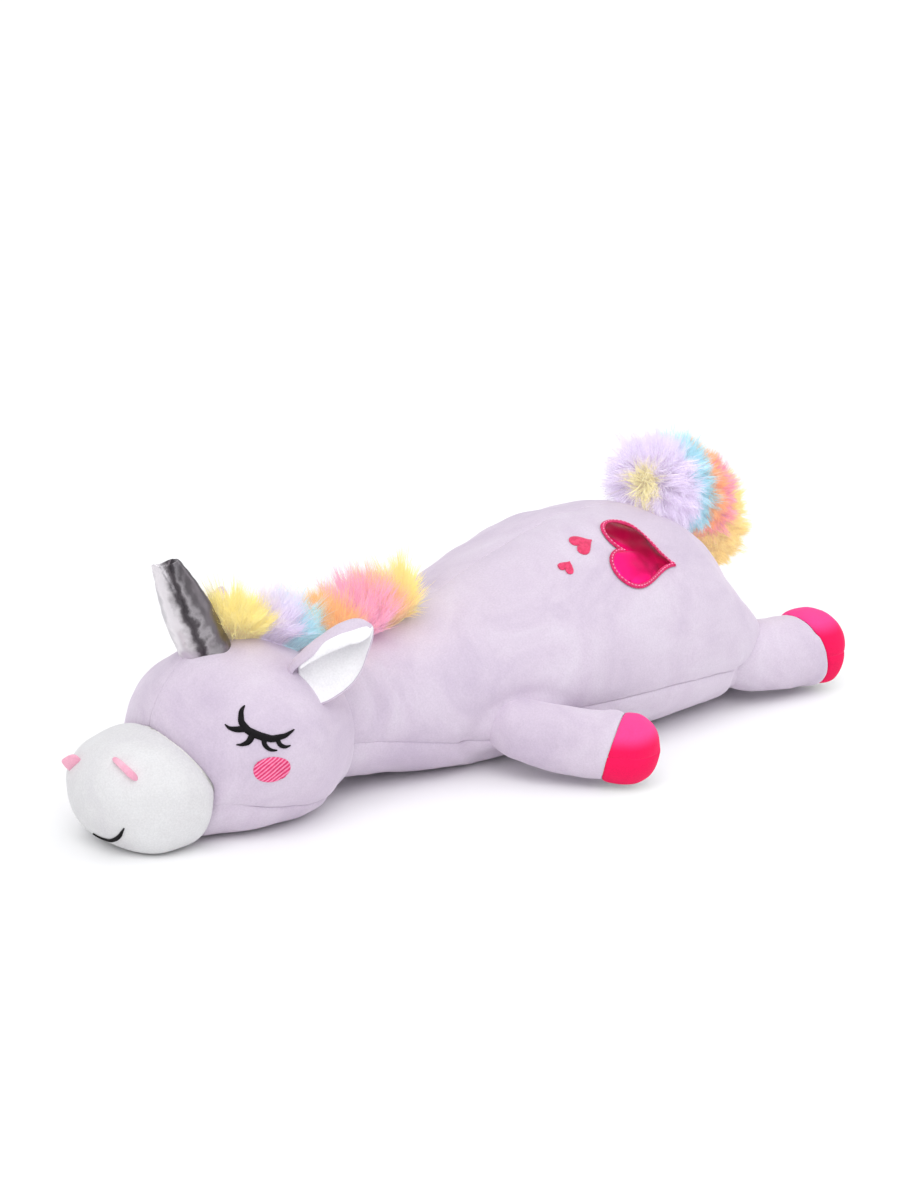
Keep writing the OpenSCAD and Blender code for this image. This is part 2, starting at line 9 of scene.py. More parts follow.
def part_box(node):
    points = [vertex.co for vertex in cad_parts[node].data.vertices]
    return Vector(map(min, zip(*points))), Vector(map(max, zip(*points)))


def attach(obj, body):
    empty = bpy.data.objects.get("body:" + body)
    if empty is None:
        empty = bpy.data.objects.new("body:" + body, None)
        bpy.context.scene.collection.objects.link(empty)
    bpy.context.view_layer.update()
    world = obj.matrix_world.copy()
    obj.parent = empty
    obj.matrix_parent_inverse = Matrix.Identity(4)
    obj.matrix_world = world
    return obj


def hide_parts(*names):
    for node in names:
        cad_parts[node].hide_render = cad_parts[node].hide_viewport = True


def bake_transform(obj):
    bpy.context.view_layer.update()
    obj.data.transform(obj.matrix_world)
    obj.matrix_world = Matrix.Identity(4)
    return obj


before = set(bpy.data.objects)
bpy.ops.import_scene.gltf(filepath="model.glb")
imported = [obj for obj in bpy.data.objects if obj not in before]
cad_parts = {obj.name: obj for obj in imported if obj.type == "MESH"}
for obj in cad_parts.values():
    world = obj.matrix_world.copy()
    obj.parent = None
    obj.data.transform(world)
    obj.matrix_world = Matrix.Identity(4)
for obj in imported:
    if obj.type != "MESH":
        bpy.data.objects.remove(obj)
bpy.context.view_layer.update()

MM = 0.001
# Where the sections' own origin lies along X, in millimetres: the torso's panels start 112 mm before it
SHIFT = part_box("body_left_panel")[0][0] / MM + 112.0


# ---------------------------------------------------------------- numbers and noise
def srgb(r, g, b):
    """Linear colour from the usual 0 to 255 values."""
    return tuple(
        c / 12.92 if c <= 0.04045 else ((c + 0.055) / 1.055) ** 2.4
        for c in (r / 255, g / 255, b / 255)
    )


def unit(v):
    v = np.asarray(v, float)
    return v / np.maximum(np.linalg.norm(v, axis=-1, keepdims=True), 1e-12)


def smooth(a, b, x):
    """Soft step from 0 at a to 1 at b."""
    t = np.clip((x - a) / (b - a), 0, 1)
    return t * t * (3 - 2 * t)


def pchip(xs, ys):
    """Shape-preserving cubic through the rows of ys."""
    x = np.asarray(xs, float)
    y = np.asarray(ys, float).reshape(len(x), -1)
    h = np.diff(x)
    d = np.diff(y, axis=0) / h[:, None]
    m = np.zeros_like(y)
    for k in range(1, len(x) - 1):
        w1, w2 = 2 * h[k] + h[k - 1], h[k] + 2 * h[k - 1]
        same = d[k - 1] * d[k] > 0
        with np.errstate(divide="ignore", invalid="ignore"):
            m[k] = np.where(same, (w1 + w2) / (w1 / d[k - 1] + w2 / d[k]), 0)
    m[0], m[-1] = d[0], d[-1]

    def f(q):
        q = np.asarray(q, float)
        i = np.clip(np.searchsorted(x, q, side="right") - 1, 0, len(x) - 2)
        t = np.clip((q - x[i]) / h[i], 0, 1)[..., None]
        H = h[i][..., None]
        a, b = y[i], y[i + 1]
        return (
            a * (1 + 2 * t) * (1 - t) ** 2
            + m[i] * H * t * (1 - t) ** 2
            + b * t * t * (3 - 2 * t)
            + m[i + 1] * H * t * t * (t - 1)
        )

    return f


def waves(p, size, seed):
    """Smooth random field of unit-ish size; features are about `size` mm."""
    r = np.random.default_rng(seed)
    n = 9
    out = np.zeros(p.shape[:-1])
    for _ in range(n):
        k = unit(r.normal(size=3)) * (2 * math.pi / (size * r.uniform(0.7, 1.6)))
        out += np.sin(p @ k + r.uniform(0, 2 * math.pi))
    return out / math.sqrt(n)


def from_top(a):
    """Angle away from the top line, 0 to 180 degrees on either side."""
    return np.abs((a + 180) % 360 - 180)


def hand_of(a):
    """1 on the left side, -1 on the right."""
    return np.where(((a + 180) % 360 - 180) >= 0, 1.0, -1.0)


def rest_on_floor(z, soft):
    """Presses what would go below the floor flat, over a few millimetres."""
    return 0.5 * (z + np.sqrt(z * z + soft**2))


def around(n):
    """n even angles round a closed section, in degrees."""
    return np.linspace(0, 360, n + 1)[:-1]


def lengths(points):
    """Length along a line of points, from 0 at the first."""
    return np.concatenate([[0], np.cumsum(np.linalg.norm(np.diff(points, axis=0), axis=1))])


# ---------------------------------------------------------------- meshes
def link(name, data):
    ob = bpy.data.objects.new(name, data)
    bpy.context.scene.collection.objects.link(ob)
    return ob


def new_object(name, verts, faces, mat=None):
    me = bpy.data.meshes.new(name)
    me.from_pydata([tuple(v) for v in np.asarray(verts).reshape(-1, 3)], [], faces)
    me.update()
    me.polygons.foreach_set("use_smooth", [True] * len(me.polygons))
    if mat is not None:
        me.materials.append(mat)
    return link(name, me)


def grid_faces(nu, nv, wrap_v=False, off=0, flip=False):
    """Four-sided faces between nu rows of nv points."""
    F = []
    for i in range(nu - 1):
        for j in range(nv if wrap_v else nv - 1):
            a, b = i * nv + j, i * nv + (j + 1) % nv
            q = (a, a + nv, b + nv, b) if flip else (a, b, b + nv, a + nv)
            F.append(tuple(off + k for k in q))
    return F


def cloth_object(name, V, F, mat, sub):
    """Mesh from points in millimetres, with even normals, made smoother by sub rounds of subdivision."""
    ob = new_object(name, np.concatenate(V) * MM, F, mat)
    fix_normals(ob)
    if sub:
        m = ob.modifiers.new("round", "SUBSURF")
        m.levels = m.render_levels = sub
        apply_modifiers(ob)
    return ob


def skin(name, P, mat, caps=(False, False), sub=1):
    """Grid of points as a tube that closes round in its second direction; caps close its ends."""
    nu, nv = P.shape[:2]
    V, F = [P.reshape(-1, 3)], grid_faces(nu, nv, wrap_v=True)
    n = nu * nv
    for end, use in enumerate(caps):
        if use:
            V.append(P[-end].mean(axis=0)[None])
            for j in range(nv):
                a, b = (end * (nu - 1) * nv + k for k in (j, (j + 1) % nv))
                F.append((n, a, b) if end else (n, b, a))
            n += 1
    return cloth_object(name, V, F, mat, sub)


def wall(name, P, mat, thick=0.0, inner=None, sub=1):
    """Grid of points as a cloth wall with an inner face and closed edges."""
    nu, nv = P.shape[:2]
    k = nu * nv
    inner = P - outward(P) * thick if inner is None else inner
    F = grid_faces(nu, nv) + grid_faces(nu, nv, off=k, flip=True)
    edge = []
    for i in range(nu - 1):
        edge += [(i * nv, (i + 1) * nv), ((i + 1) * nv + nv - 1, i * nv + nv - 1)]
    for j in range(nv - 1):
        edge += [(j + 1, j), ((nu - 1) * nv + j, (nu - 1) * nv + j + 1)]
    F += [(a, b, k + b, k + a) for a, b in edge]
    return cloth_object(name, [P.reshape(-1, 3), inner.reshape(-1, 3)], F, mat, sub)


def fix_normals(ob):
    import bmesh

    bm = bmesh.new()
    bm.from_mesh(ob.data)
    bmesh.ops.recalc_face_normals(bm, faces=bm.faces)
    bm.to_mesh(ob.data)
    bm.free()


def apply_modifiers(ob):
    dg = bpy.context.evaluated_depsgraph_get()
    me = bpy.data.meshes.new_from_object(ob.evaluated_get(dg))
    ob.modifiers.clear()
    old = ob.data
    ob.data = me
    bpy.data.meshes.remove(old)
    me.name = ob.name


def grid_normals(P, wrap_v=False):
    du = np.gradient(P, axis=0)
    dv = np.roll(P, -1, axis=1) - np.roll(P, 1, axis=1) if wrap_v else np.gradient(P, axis=1)
    return unit(np.cross(du, dv))


def outward(P, wrap_v=False):
    n = grid_normals(P, wrap_v)
    c = P.reshape(-1, 3).mean(0)
    return n if ((P - c) * n).sum() > 0 else -n


def join(name, obs):
    """One smooth object from several, keeping their materials."""
    V, F, M, mats, off = [], [], [], [], 0
    for o in obs:
        me = o.data
        v = np.empty(len(me.vertices) * 3)
        me.vertices.foreach_get("co", v)
        V.append(v.reshape(-1, 3))
        slot = []
        for m in me.materials:
            if m not in mats:
                mats.append(m)
            slot.append(mats.index(m))
        for p in me.polygons:
            F.append(tuple(off + i for i in p.vertices))
            M.append(slot[p.material_index])
        off += len(me.vertices)
        bpy.data.objects.remove(o)
        bpy.data.meshes.remove(me)
    ob = new_object(name, np.concatenate(V), F)
    for m in mats:
        ob.data.materials.append(m)
    ob.data.polygons.foreach_set("material_index", M)
    return ob


# ---------------------------------------------------------------- sections of the toy
BODY = [
    (-132, 36, 48, 36, 35), (-124, 41, 48, 40.5, 39.5), (-112, 43.5, 48, 43, 41), (-90, 47.5, 48, 46, 44),
    (-60, 55, 48, 49.5, 47.5), (-20, 67, 48, 58, 51), (20, 79, 50, 71, 54), (60, 88, 52, 81, 56),
    (100, 93, 54, 87, 58), (138, 93, 54, 87, 58), (172, 87, 53, 79, 57), (202, 75, 50, 64, 54),
    (224, 58, 46, 46, 48), (238, 40, 42, 30, 36), (246, 22, 39, 16, 20), (248.8, 6, 38, 5, 6),
    (249, 0.6, 38, 0.6, 0.6),
]
HEAD = [
    (-242, 45.5, 38, 30.5, 43), (-239, 47.5, 40, 34, 46), (-234, 50.5, 44, 37.5, 50),
    (-222, 56.5, 50, 43.5, 56), (-198, 67.2, 53, 54.5, 60), (-168, 69, 53, 57, 60),
    (-145, 60.5, 51, 51, 57), (-132, 53, 50, 45.5, 51), (-124, 48.6, 49, 41.5, 47),
    (-119, 45.4, 48.4, 41.5, 44.5), (-117.5, 43, 48, 41.4, 42.2), (-120, 41, 48, 40, 40),
]
MUZZLE = [
    (-289, 0.6, 35.5, 0.6, 0.6), (-288.6, 5, 35.5, 3.8, 5), (-286.4, 18, 35.0, 11.5, 17.0),
    (-278, 37, 35, 23.5, 33), (-264, 48.5, 35, 31, 44), (-250, 51.0, 36.3, 32.6, 44),
    (-243, 48.8, 37.5, 31.9, 43.4), (-240.5, 44.5, 38, 29.7, 42),
]


class Loft:
    """Stuffed form through sections: (x, half width, height of the widest line, rise, drop)."""

    def __init__(self, table, disp, shear, brow=1.0):
        t = np.array(table, float)
        w = np.linalg.norm(np.diff(t[:, [0, 1, 3]], axis=0), axis=1)
        self.s = np.concatenate([[0], np.cumsum(np.maximum(w, 0.5))])
        self.f = pchip(self.s, t)
        self.end = self.s[-1]
        self.disp, self.shear, self.brow = disp, shear, brow
        q = np.linspace(0, self.end, 3000)
        x = self.f(q)[:, 0]
        keep = np.concatenate([[True], x[1:] > np.maximum.accumulate(x)[:-1]])
        self._x, self._q = x[keep], q[keep]

    def at_x(self, x):
        return np.interp(x, self._x, self._q)

    def raw(self, s, a):
        """Points of the plain form, before its seams, creases and waves."""
        s, a = np.broadcast_arrays(np.asarray(s, float), np.asarray(a, float))
        x, w, z, hu, hd = np.moveaxis(self.f(s), -1, 0)
        ca, sa = np.cos(np.radians(a)), np.sin(np.radians(a))
        lo = smooth(0.06, -0.12, ca)
        y = -w * np.sign(sa) * np.abs(sa) ** (self.brow + (0.78 - self.brow) * lo)
        zz = z + np.where(ca < 0, -hd * np.abs(ca) ** (1 - 0.08 * lo), hu * ca)
        return np.stack([x + self.shear(s, a) + SHIFT, y, rest_on_floor(zz, 5.0)], -1)

    def normal(self, s, a):
        e, g = 0.4, 0.6
        s, a = np.broadcast_arrays(np.asarray(s, float), np.asarray(a, float))
        ds = self.raw(np.minimum(s + e, self.end), a) - self.raw(np.maximum(s - e, 0), a)
        da = self.raw(s, a + g) - self.raw(s, a - g)
        n = np.cross(ds, da)
        c = self.raw(s, a) - np.stack([self.f(s)[..., 0] + SHIFT, 0 * s, self.f(s)[..., 2]], -1)
        flip = np.where((n * c).sum(-1, keepdims=True) < 0, -1, 1)
        return unit(n) * flip

    def pt(self, s, a, off=0.0):
        p = self.raw(s, a)
        return p + self.normal(s, a) * (self.disp(s, a, p) + off)[..., None]

    def over(self, s, a, height):
        """Points at a height over the finished surface, and the normals there."""
        n = self.normal(s, a)
        return self.pt(s, a) + n * height[..., None], n

    def radius(self, s):
        r = self.f(s)
        return 0.5 * (r[..., 1] + 0.5 * (r[..., 3] + r[..., 4]))

    def arc(self, s, degrees):
        """Length in millimetres of a turn round the form."""
        return degrees * self.radius(s) * math.pi / 180


def seam_dip(d, along, seed, depth=1.5, pull=1.3, pucker=0.4, pitch=6.5):
    """Groove of a sewn seam at distance d, with the small gathers that the thread pulls in."""
    ph = 1.3 * np.sin(along / 23 + seed) + 0.8 * np.sin(along / 11 + 2 * seed)
    gather = np.sin(2 * math.pi * along / pitch + ph) * (0.6 + 0.4 * np.sin(along / 17 + seed * 3))
    return (
        -depth * np.exp(-((d / 1.7) ** 2))
        - pull * np.exp(-((d / 7.5) ** 2))
        + pucker * gather * np.exp(-((np.abs(d) / 6.5) ** 1.5)) * (1 - 0.5 * np.exp(-((d / 1.2) ** 2)))
    )


# Height of the seams along the flank and under the head, as angles from the top, by x
belly_line = pchip(
    [-135, -105, -70, -27, 5, 32, 100, 170, 213, 249], [100, 103, 110, 119, 110, 102, 104, 109, 116, 124]
)
chin_line = pchip(
    [-245, -240, -235, -220, -198, -183, -171, -156, -144, -118],
    [101, 105, 108.5, 115.8, 121, 124.5, 128, 131, 133, 138],
)

# Where each left leg grows out of the flank: its root, a point further out, both in millimetres
LEG_ROOTS = (
    (np.array([-2, -66, 28.0]), np.array([16, -92, 28.0])),
    (np.array([220, -60.5, 26.0]), np.array([246, -64.5, 26.0])),
)
ROOT_RADIUS = 21.5


def leg_axis_distance(p, root, tip, side):
    """Distance from a leg's axis line, for points near the torso's flank."""
    a = np.array([root[0] + SHIFT, root[1] * side, root[2] + 4])
    h = unit([tip[0] - root[0], (tip[1] - root[1]) * side, 0])
    q = p - a
    along = q @ h
    return np.linalg.norm(q - along[..., None] * h, axis=-1), along


def body_disp(s, a, p):
    x = p[..., 0] - SHIFT
    aa = from_top(a)
    k = smooth(0, 14, BODY_FORM.radius(s))
    d = 0.9 * waves(p, 75, 3) + 0.38 * waves(p, 27, 4) + 0.1 * waves(p, 11, 5)
    d = d * smooth(-132, -95, x) * k
    d += seam_dip(BODY_FORM.arc(s, aa - belly_line(x)[..., 0]), s, 1 + hand_of(a), depth=0.8, pull=1.5) * k
    d += seam_dip(BODY_FORM.arc(s, aa), s, 5, depth=0.3, pull=0.5, pucker=0.2) * k
    # Creases of the neck behind the head
    for cx, ca, wx, wa, h, lean in (
        (-101, 68, 3.4, 34, 3.0, 0.10), (-92, 62, 2.6, 24, -1.8, 0.16), (-84, 72, 3.2, 26, 2.8, 0.22),
        (-104, 20, 3.6, 20, 1.6, -0.05), (-76, 55, 3.0, 18, 0.9, 0.3),
    ):
        lx = x - cx - lean * (aa - ca)
        d += -h * np.exp(-((lx / wx) ** 2)) * np.exp(-(((aa - ca) / wa) ** 2))
    # The flank is drawn in round each leg's root
    for root, tip in LEG_ROOTS:
        for side in (1, -1):
            dist, along = leg_axis_distance(p, root, tip, side)
            dist -= ROOT_RADIUS
            near = np.exp(-np.maximum(along - 8, 0) ** 2 / 400) * (along > -30)
            d += near * (-2.4 * np.exp(-((dist / 4.5) ** 2)) - 1.0 * np.exp(-(((dist - 4) / 11) ** 2)))
    return d


def head_disp(s, a, p):
    x = p[..., 0] - SHIFT
    aa = from_top(a)
    back = 1 - smooth(-128, -119, x)
    d = (0.75 * waves(p, 60, 13) + 0.3 * waves(p, 22, 14)) * back * smooth(0, 12, s)
    d += seam_dip(HEAD_FORM.arc(s, aa - chin_line(x)[..., 0]), s, 9 + hand_of(a), depth=1.25, pull=1.2) * back
    d += seam_dip(HEAD_FORM.arc(s, aa), s, 12, depth=0.25, pull=0.45, pucker=0.2) * back
    d += seam_dip(s + 0.5, aa * 0.9, 15, depth=0.6, pull=1.6, pucker=0.35)
    # Puff of the forehead
    d += 6.9 * np.exp(-(((x + 209) ** 2 + (p[..., 1] + 3) ** 2) / 22.0**2)) * smooth(110, 60, aa)
    return d


def muzzle_disp(s, a, p):
    d = 0.55 * waves(p, 45, 23) * smooth(0, 20, s)
    return d + seam_dip(MUZZLE_FORM.end - s + 0.5, a * 0.9, 17, depth=0.6, pull=1.4, pucker=0.35)


def front_shear(a):
    return 14 * (1 - np.maximum(np.cos(np.radians(a)), 0)) - 2 * np.maximum(-np.cos(np.radians(a)), 0)


def rump_slope(s, a):
    """The rump runs straight down to the hind legs: drawn in above, pushed out below."""
    x = BODY_FORM.f(s)[..., 0]
    aa = from_top(a)
    by_angle = -8.5 * np.exp(-(((aa - 49) / 18) ** 2)) + 15 * smooth(62, 102, aa)
    return (7 + (by_angle - 7) * smooth(0, 34, BODY_FORM.radius(s))) * smooth(150, 214, x)


BODY_FORM = Loft(BODY, body_disp, rump_slope)
HEAD_FORM = Loft(HEAD, head_disp, lambda s, a: front_shear(a) * (1 - smooth(0, 62, s)), brow=1.42)
MUZZLE_FORM = Loft(
    MUZZLE, muzzle_disp, lambda s, a: front_shear(a) * smooth(12, MUZZLE_FORM.end, s) ** 1.2, brow=1.1
)


# ---------------------------------------------------------------- materials
def material(name):
    mat = bpy.data.materials.new(name)
    mat.use_nodes = True
    return mat


def plug(mat, socket, value):
    """Sets a socket to a value, or links it to another node's output."""
    if isinstance(value, bpy.types.NodeSocket):
        mat.node_tree.links.new(value, socket)
    else:
        socket.default_value = value


def shade(mat, kind, ins, out=0, **settings):
    """Adds a shader node with its settings and inputs, and gives one of its outputs."""
    n = mat.node_tree.nodes.new("ShaderNode" + kind)
    for key, value in settings.items():
        setattr(n, key, value)
    for key, value in ins.items():
        plug(mat, n.inputs[key], value)
    return n.outputs[out]


def surface(mat, values):
    for key, value in values.items():
        plug(mat, mat.node_tree.nodes["Principled BSDF"].inputs[key], value)


def on_toy(mat):
    return shade(mat, "TexCoord", {}, "Object")


def noise(mat, scale, **more):
    return shade(mat, "TexNoise", {"Vector": on_toy(mat), "Scale": scale, **more})


def maths(mat, kind, *ins):
    return shade(mat, "Math", dict(enumerate(ins)), operation=kind)


def ramp(mat, fac, stops):
    """Colour ramp through (place, colour) stops."""
    out = shade(mat, "ValToRGB", {"Fac": fac})
    el = out.node.color_ramp.elements
    el.remove(el[-1])
    el[0].position, el[0].color = stops[0][0], (*stops[0][1], 1)
    for at, colour in stops[1:]:
        el.new(at).color = (*colour, 1)
    return out


def mix(mat, fac, first, second, blend="MIX"):
    ins = {"Factor": fac, 6: first, 7: second}
    return shade(mat, "Mix", ins, 2, data_type="RGBA", blend_type=blend)


def bump(mat, height, strength, distance):
    return shade(mat, "Bump", {"Height": height, "Strength": strength, "Distance": distance})


def along(mat, way, start):
    """Distance of a point of the toy along a direction, counted from a start."""
    dot = shade(mat, "VectorMath", {0: on_toy(mat), 1: tuple(way)}, "Value", operation="DOT_PRODUCT")
    return maths(mat, "SUBTRACT", dot, float(start))


def velour(name, colour, dark, light, sheen=0.55, tint=(1, 1, 1), nap=1.0):
    """Short brushed pile: patches lie different ways, a fine nap stands up."""
    mat = material(name)
    patches = noise(mat, 17, Detail=5, Roughness=0.62, Distortion=0.8)
    patches = ramp(mat, patches, [(0.3, dark), (0.5, colour), (0.72, light)])
    fine = noise(mat, 900, Detail=3)
    limits = {"From Min": 0.3, "From Max": 0.7, "To Min": 0.94, "To Max": 1.04}
    speck = shade(mat, "MapRange", {"Value": fine, **limits})
    pile = maths(mat, "MULTIPLY_ADD", noise(mat, 130, Detail=4), 0.55, fine)
    surface(mat, {
        "Base Color": shade(mat, "VectorMath", {0: patches, "Scale": speck}, operation="SCALE"),
        "Roughness": 0.88, "Specular IOR Level": 0.18,
        "Sheen Weight": sheen, "Sheen Roughness": 0.38, "Sheen Tint": (*tint, 1),
        "Normal": bump(mat, pile, 0.16 * nap, 0.0006),
    })
    return mat


def painted_light_by_height(mat, low, high, z0, z1, lean):
    """Painted light: the pile turns from a shaded colour below to a lit colour above, between two heights
    which rise towards the rear.
    """
    before = mat.node_tree.nodes["Principled BSDF"].inputs["Base Color"].links[0].from_socket
    x = shade(mat, "SeparateXYZ", {0: on_toy(mat)})
    level = maths(mat, "MULTIPLY_ADD", x, -lean, x.node.outputs["Z"])
    ins = {"Value": level, "From Min": z0 * MM, "From Max": z1 * MM}
    height = shade(mat, "MapRange", ins, interpolation_type="SMOOTHSTEP")
    both = mix(mat, height, (*low, 1), (*high, 1))
    surface(mat, {"Base Color": mix(mat, 1.0, both, before, "MULTIPLY")})


def thread(name, colour, dark, rough=0.42, spec=0.5, sheen=0.2):
    mat = material(name)
    tone = ramp(mat, noise(mat, 420, Detail=2), [(0.35, dark), (0.65, colour)])
    surface(mat, {
        "Base Color": tone, "Roughness": rough, "Specular IOR Level": spec, "Sheen Weight": sheen,
    })
    return mat


def foil(name, rough, crinkle, scale, paint):
    """Metal-coated cloth: fine crinkles and a faint weave. paint gives its colour, with painted reflections
    in it.
    """
    mat = material(name)
    folds = noise(mat, scale, Detail=5, Distortion=1.2)
    height = maths(mat, "MULTIPLY_ADD", noise(mat, 1500), 0.12, folds)
    surface(mat, {
        "Base Color": paint(mat), "Metallic": 1.0, "Roughness": rough, "Sheen Weight": 0.0,
        "Normal": bump(mat, height, crinkle, 0.0009),
    })
    return mat


def painted_silver_reflections(mat):
    """Painted reflection: the crumpled lame's mirror image of its surroundings, painted into its colour as
    long light and dark streaks.
    """
    across = unit(np.array([0.743, -0.669, 0]) - HORN_AXIS * (0.743 * HORN_AXIS[0]))
    foot = HORN_FOOT * MM
    crumple = noise(mat, 105, Detail=4, Roughness=0.5)
    width = maths(mat, "MULTIPLY_ADD", along(mat, HORN_AXIS, foot @ HORN_AXIS), -0.125, 0.0165)
    share = maths(mat, "DIVIDE", along(mat, across, foot @ across), width)
    share = maths(mat, "MULTIPLY_ADD", share, 0.5, 0.5)
    place = maths(mat, "MULTIPLY_ADD", maths(mat, "SUBTRACT", crumple, 0.5), 0.55, share)
    reflected_greys = (
        (0.14, 226), (0.34, 218), (0.45, 178), (0.54, 98), (0.62, 74), (0.70, 92), (0.77, 162), (0.82, 146),
        (0.88, 118),
    )
    stops = [(at, srgb(grey, grey - 5, grey - 1)) for at, grey in reflected_greys]
    return ramp(mat, place, [(0.0, srgb(196, 193, 197)), *stops, (1.0, srgb(120, 114, 118))])


def painted_heart_reflections(mat):
    """Painted reflection on the coating, wavy as over soft folds: deep crimson above, bright magenta towards
    the lower lobe.
    """
    s, a = surface_xy(BODY_FORM, HEART_AT, np.array([0.0, -14.0]), np.array([0.0, 9.0]))
    at, low = BODY_FORM.pt(s, a) * MM
    way = unit(low - at) / 0.06
    wave = noise(mat, 45, Detail=2, Distortion=0.6)
    place = maths(mat, "MULTIPLY_ADD", wave, 0.7, along(mat, way, at @ way - 0.15))
    tones = [(0.12, (128, 4, 40)), (0.42, (168, 6, 58)), (0.68, (232, 16, 100)), (0.92, (255, 34, 126))]
    return ramp(mat, place, [(at, srgb(*tone)) for at, tone in tones])


def fur_material(name, bands, painted_glow=0.125):
    """Colour by place along the strip (u) and by height on the strand (v): painted shade at the roots,
    painted light towards the tips, and a painted glow.
    """
    mat = material(name)
    u = shade(mat, "SeparateXYZ", {0: shade(mat, "UVMap", {}, uv_map="OFBake")})
    # Painted shade low in the pile and painted light on the tips, by height on the strand
    depth = [(0.0, (0.78, 0.74, 0.80)), (0.45, (1.03, 1.02, 1.04)), (1.0, (1.26, 1.26, 1.26))]
    depth = ramp(mat, u.node.outputs["Y"], depth)
    surface(mat, {
        "Base Color": mix(mat, 1.0, ramp(mat, u, bands), depth, "MULTIPLY"),
        "Roughness": 0.6, "Specular IOR Level": 0.25, "Sheen Weight": 0.35, "Sheen Roughness": 0.4,
        # Painted glow: the fur gives off a faint light of its own, standing in for the light that scatters
        # through it
        "Emission Color": (1.0, 0.9, 0.93, 1), "Emission Strength": painted_glow,
    })
    return mat


def bands(*spans):
    """Stops of a ramp with even bands: each span is (from, to, colour)."""
    return [(at, colour) for lo, hi, colour in spans for at in (lo, hi)]


HORN_LEAN = math.radians(25.4)
HORN_AXIS = np.array([-math.sin(HORN_LEAN), 0, math.cos(HORN_LEAN)])
HORN_FOOT = np.array([-197.7 + SHIFT, 0, 107.5])
HORN_LENGTH = 70.2

LAVENDER = velour(
    "lavender_velour", srgb(212, 199, 215), srgb(201, 187, 206), srgb(220, 210, 223), tint=srgb(252, 244, 254)
)
WHITE = velour(
    "white_velour", srgb(220, 219, 220), srgb(213, 211, 214), srgb(226, 226, 227), sheen=0.3, nap=0.8
)
# A lighter copy of the white velour of the muzzle: painted light that lifts the shade in the ear's pocket
LIT_LINING = velour(
    "lit_white_ear_velour", srgb(246, 245, 247), srgb(240, 239, 242), srgb(250, 250, 251), sheen=0.35, nap=0.8
)
# Painted light on the hooves: a deep pink below turns to a lighter, lit pink above, laid by height over a
# nearly white pile
PALE = srgb(250, 250, 250), srgb(240, 238, 240), srgb(255, 255, 255)
HOT_PINK = velour("hot_pink_velour", *PALE, sheen=0.25, tint=srgb(255, 150, 205))
DEEP_PINK = velour("deep_pink_velour", *PALE, sheen=0.22, tint=srgb(255, 110, 160))
HOOF_LEAN = 0.055  # the line between the two pinks rises by this share towards the rear
for mat in (HOT_PINK, DEEP_PINK):
    heights = 27.5 - HOOF_LEAN * SHIFT, 37.5 - HOOF_LEAN * SHIFT
    painted_light_by_height(mat, srgb(248, 22, 90), srgb(253, 72, 148), *heights, HOOF_LEAN)
ROSE = velour("rose_velour", srgb(236, 164, 188), srgb(224, 144, 172), srgb(246, 190, 208), sheen=0.3)
FIBRE = velour("polyester_fibre", srgb(238, 238, 234), srgb(224, 224, 220), srgb(246, 246, 244), sheen=0.6)

BLACK_THREAD = thread("black_embroidery", srgb(18, 13, 18), srgb(8, 6, 9), rough=0.6, spec=0.2, sheen=0.0)
# Cheek threads in two pinks: the lighter is painted highlight for the ridges, the darker painted shade for
# the rows between
ROW_SHADE_THREAD = thread("pink_embroidery", srgb(238, 62, 126), srgb(222, 42, 108), sheen=0.05)
RIDGE_HIGHLIGHT_THREAD = thread("cheek_highlight_embroidery", srgb(255, 152, 192), srgb(250, 128, 174), sheen=0.05)
RED_THREAD = thread("heart_embroidery", srgb(242, 62, 118), srgb(222, 40, 96))
EDGE_THREAD = thread("heart_edge_thread", srgb(232, 20, 112), srgb(204, 8, 88), sheen=0.1)
DASH_THREAD = thread("topstitch_thread", srgb(255, 178, 210), srgb(250, 140, 184), sheen=0.1)
SEAM_THREAD = thread("seam_thread", srgb(214, 200, 226), srgb(196, 180, 212))
SILVER = foil("silver_lame", 0.3, 0.35, 110, painted_silver_reflections)

YELLOW, LILAC, BLUE = srgb(252, 240, 144), srgb(236, 228, 248), srgb(184, 238, 245)
ORANGE, PINK, PEACH = srgb(255, 207, 120), srgb(255, 188, 216), srgb(255, 210, 154)
# The tail's fur has a stronger painted glow, which lifts the shade in its pile
TAIL_FUR = fur_material("tail_fur", [
    *bands((0.0, 0.05, srgb(255, 250, 190)), (0.10, 0.36, LILAC)),
    (0.41, BLUE), (0.52, srgb(158, 220, 236)),
    (0.56, srgb(254, 186, 106)), (0.665, srgb(252, 178, 98)),
    *bands((0.70, 0.775, srgb(248, 164, 190))),
    (0.81, srgb(252, 230, 142)), (1.0, srgb(250, 226, 134)),
], painted_glow=0.17)
MANE_FRONT_FUR = fur_material(
    "mane_front_fur", bands((0.0, 0.34, YELLOW), (0.42, 0.68, LILAC), (0.76, 1.0, BLUE))
)
MANE_REAR_FUR = fur_material(
    "mane_rear_fur", bands((0.0, 0.22, ORANGE), (0.31, 0.56, PINK), (0.64, 0.76, PEACH), (0.84, 1.0, YELLOW))
)


# ---------------------------------------------------------------- cloth covers
def rows(lo, hi, step):
    return np.linspace(lo, hi, max(int(round((hi - lo) / step)), 4) + 1)


def finish_piece(ob, node, body, blend=None):
    """Hides the CAD node that a piece replaces, and hangs the piece on the body it rides on; with a blend, it
    only bakes the piece's place into its points.
    """
    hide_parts(node)
    if blend:
        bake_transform(ob)
    else:
        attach(ob, body)


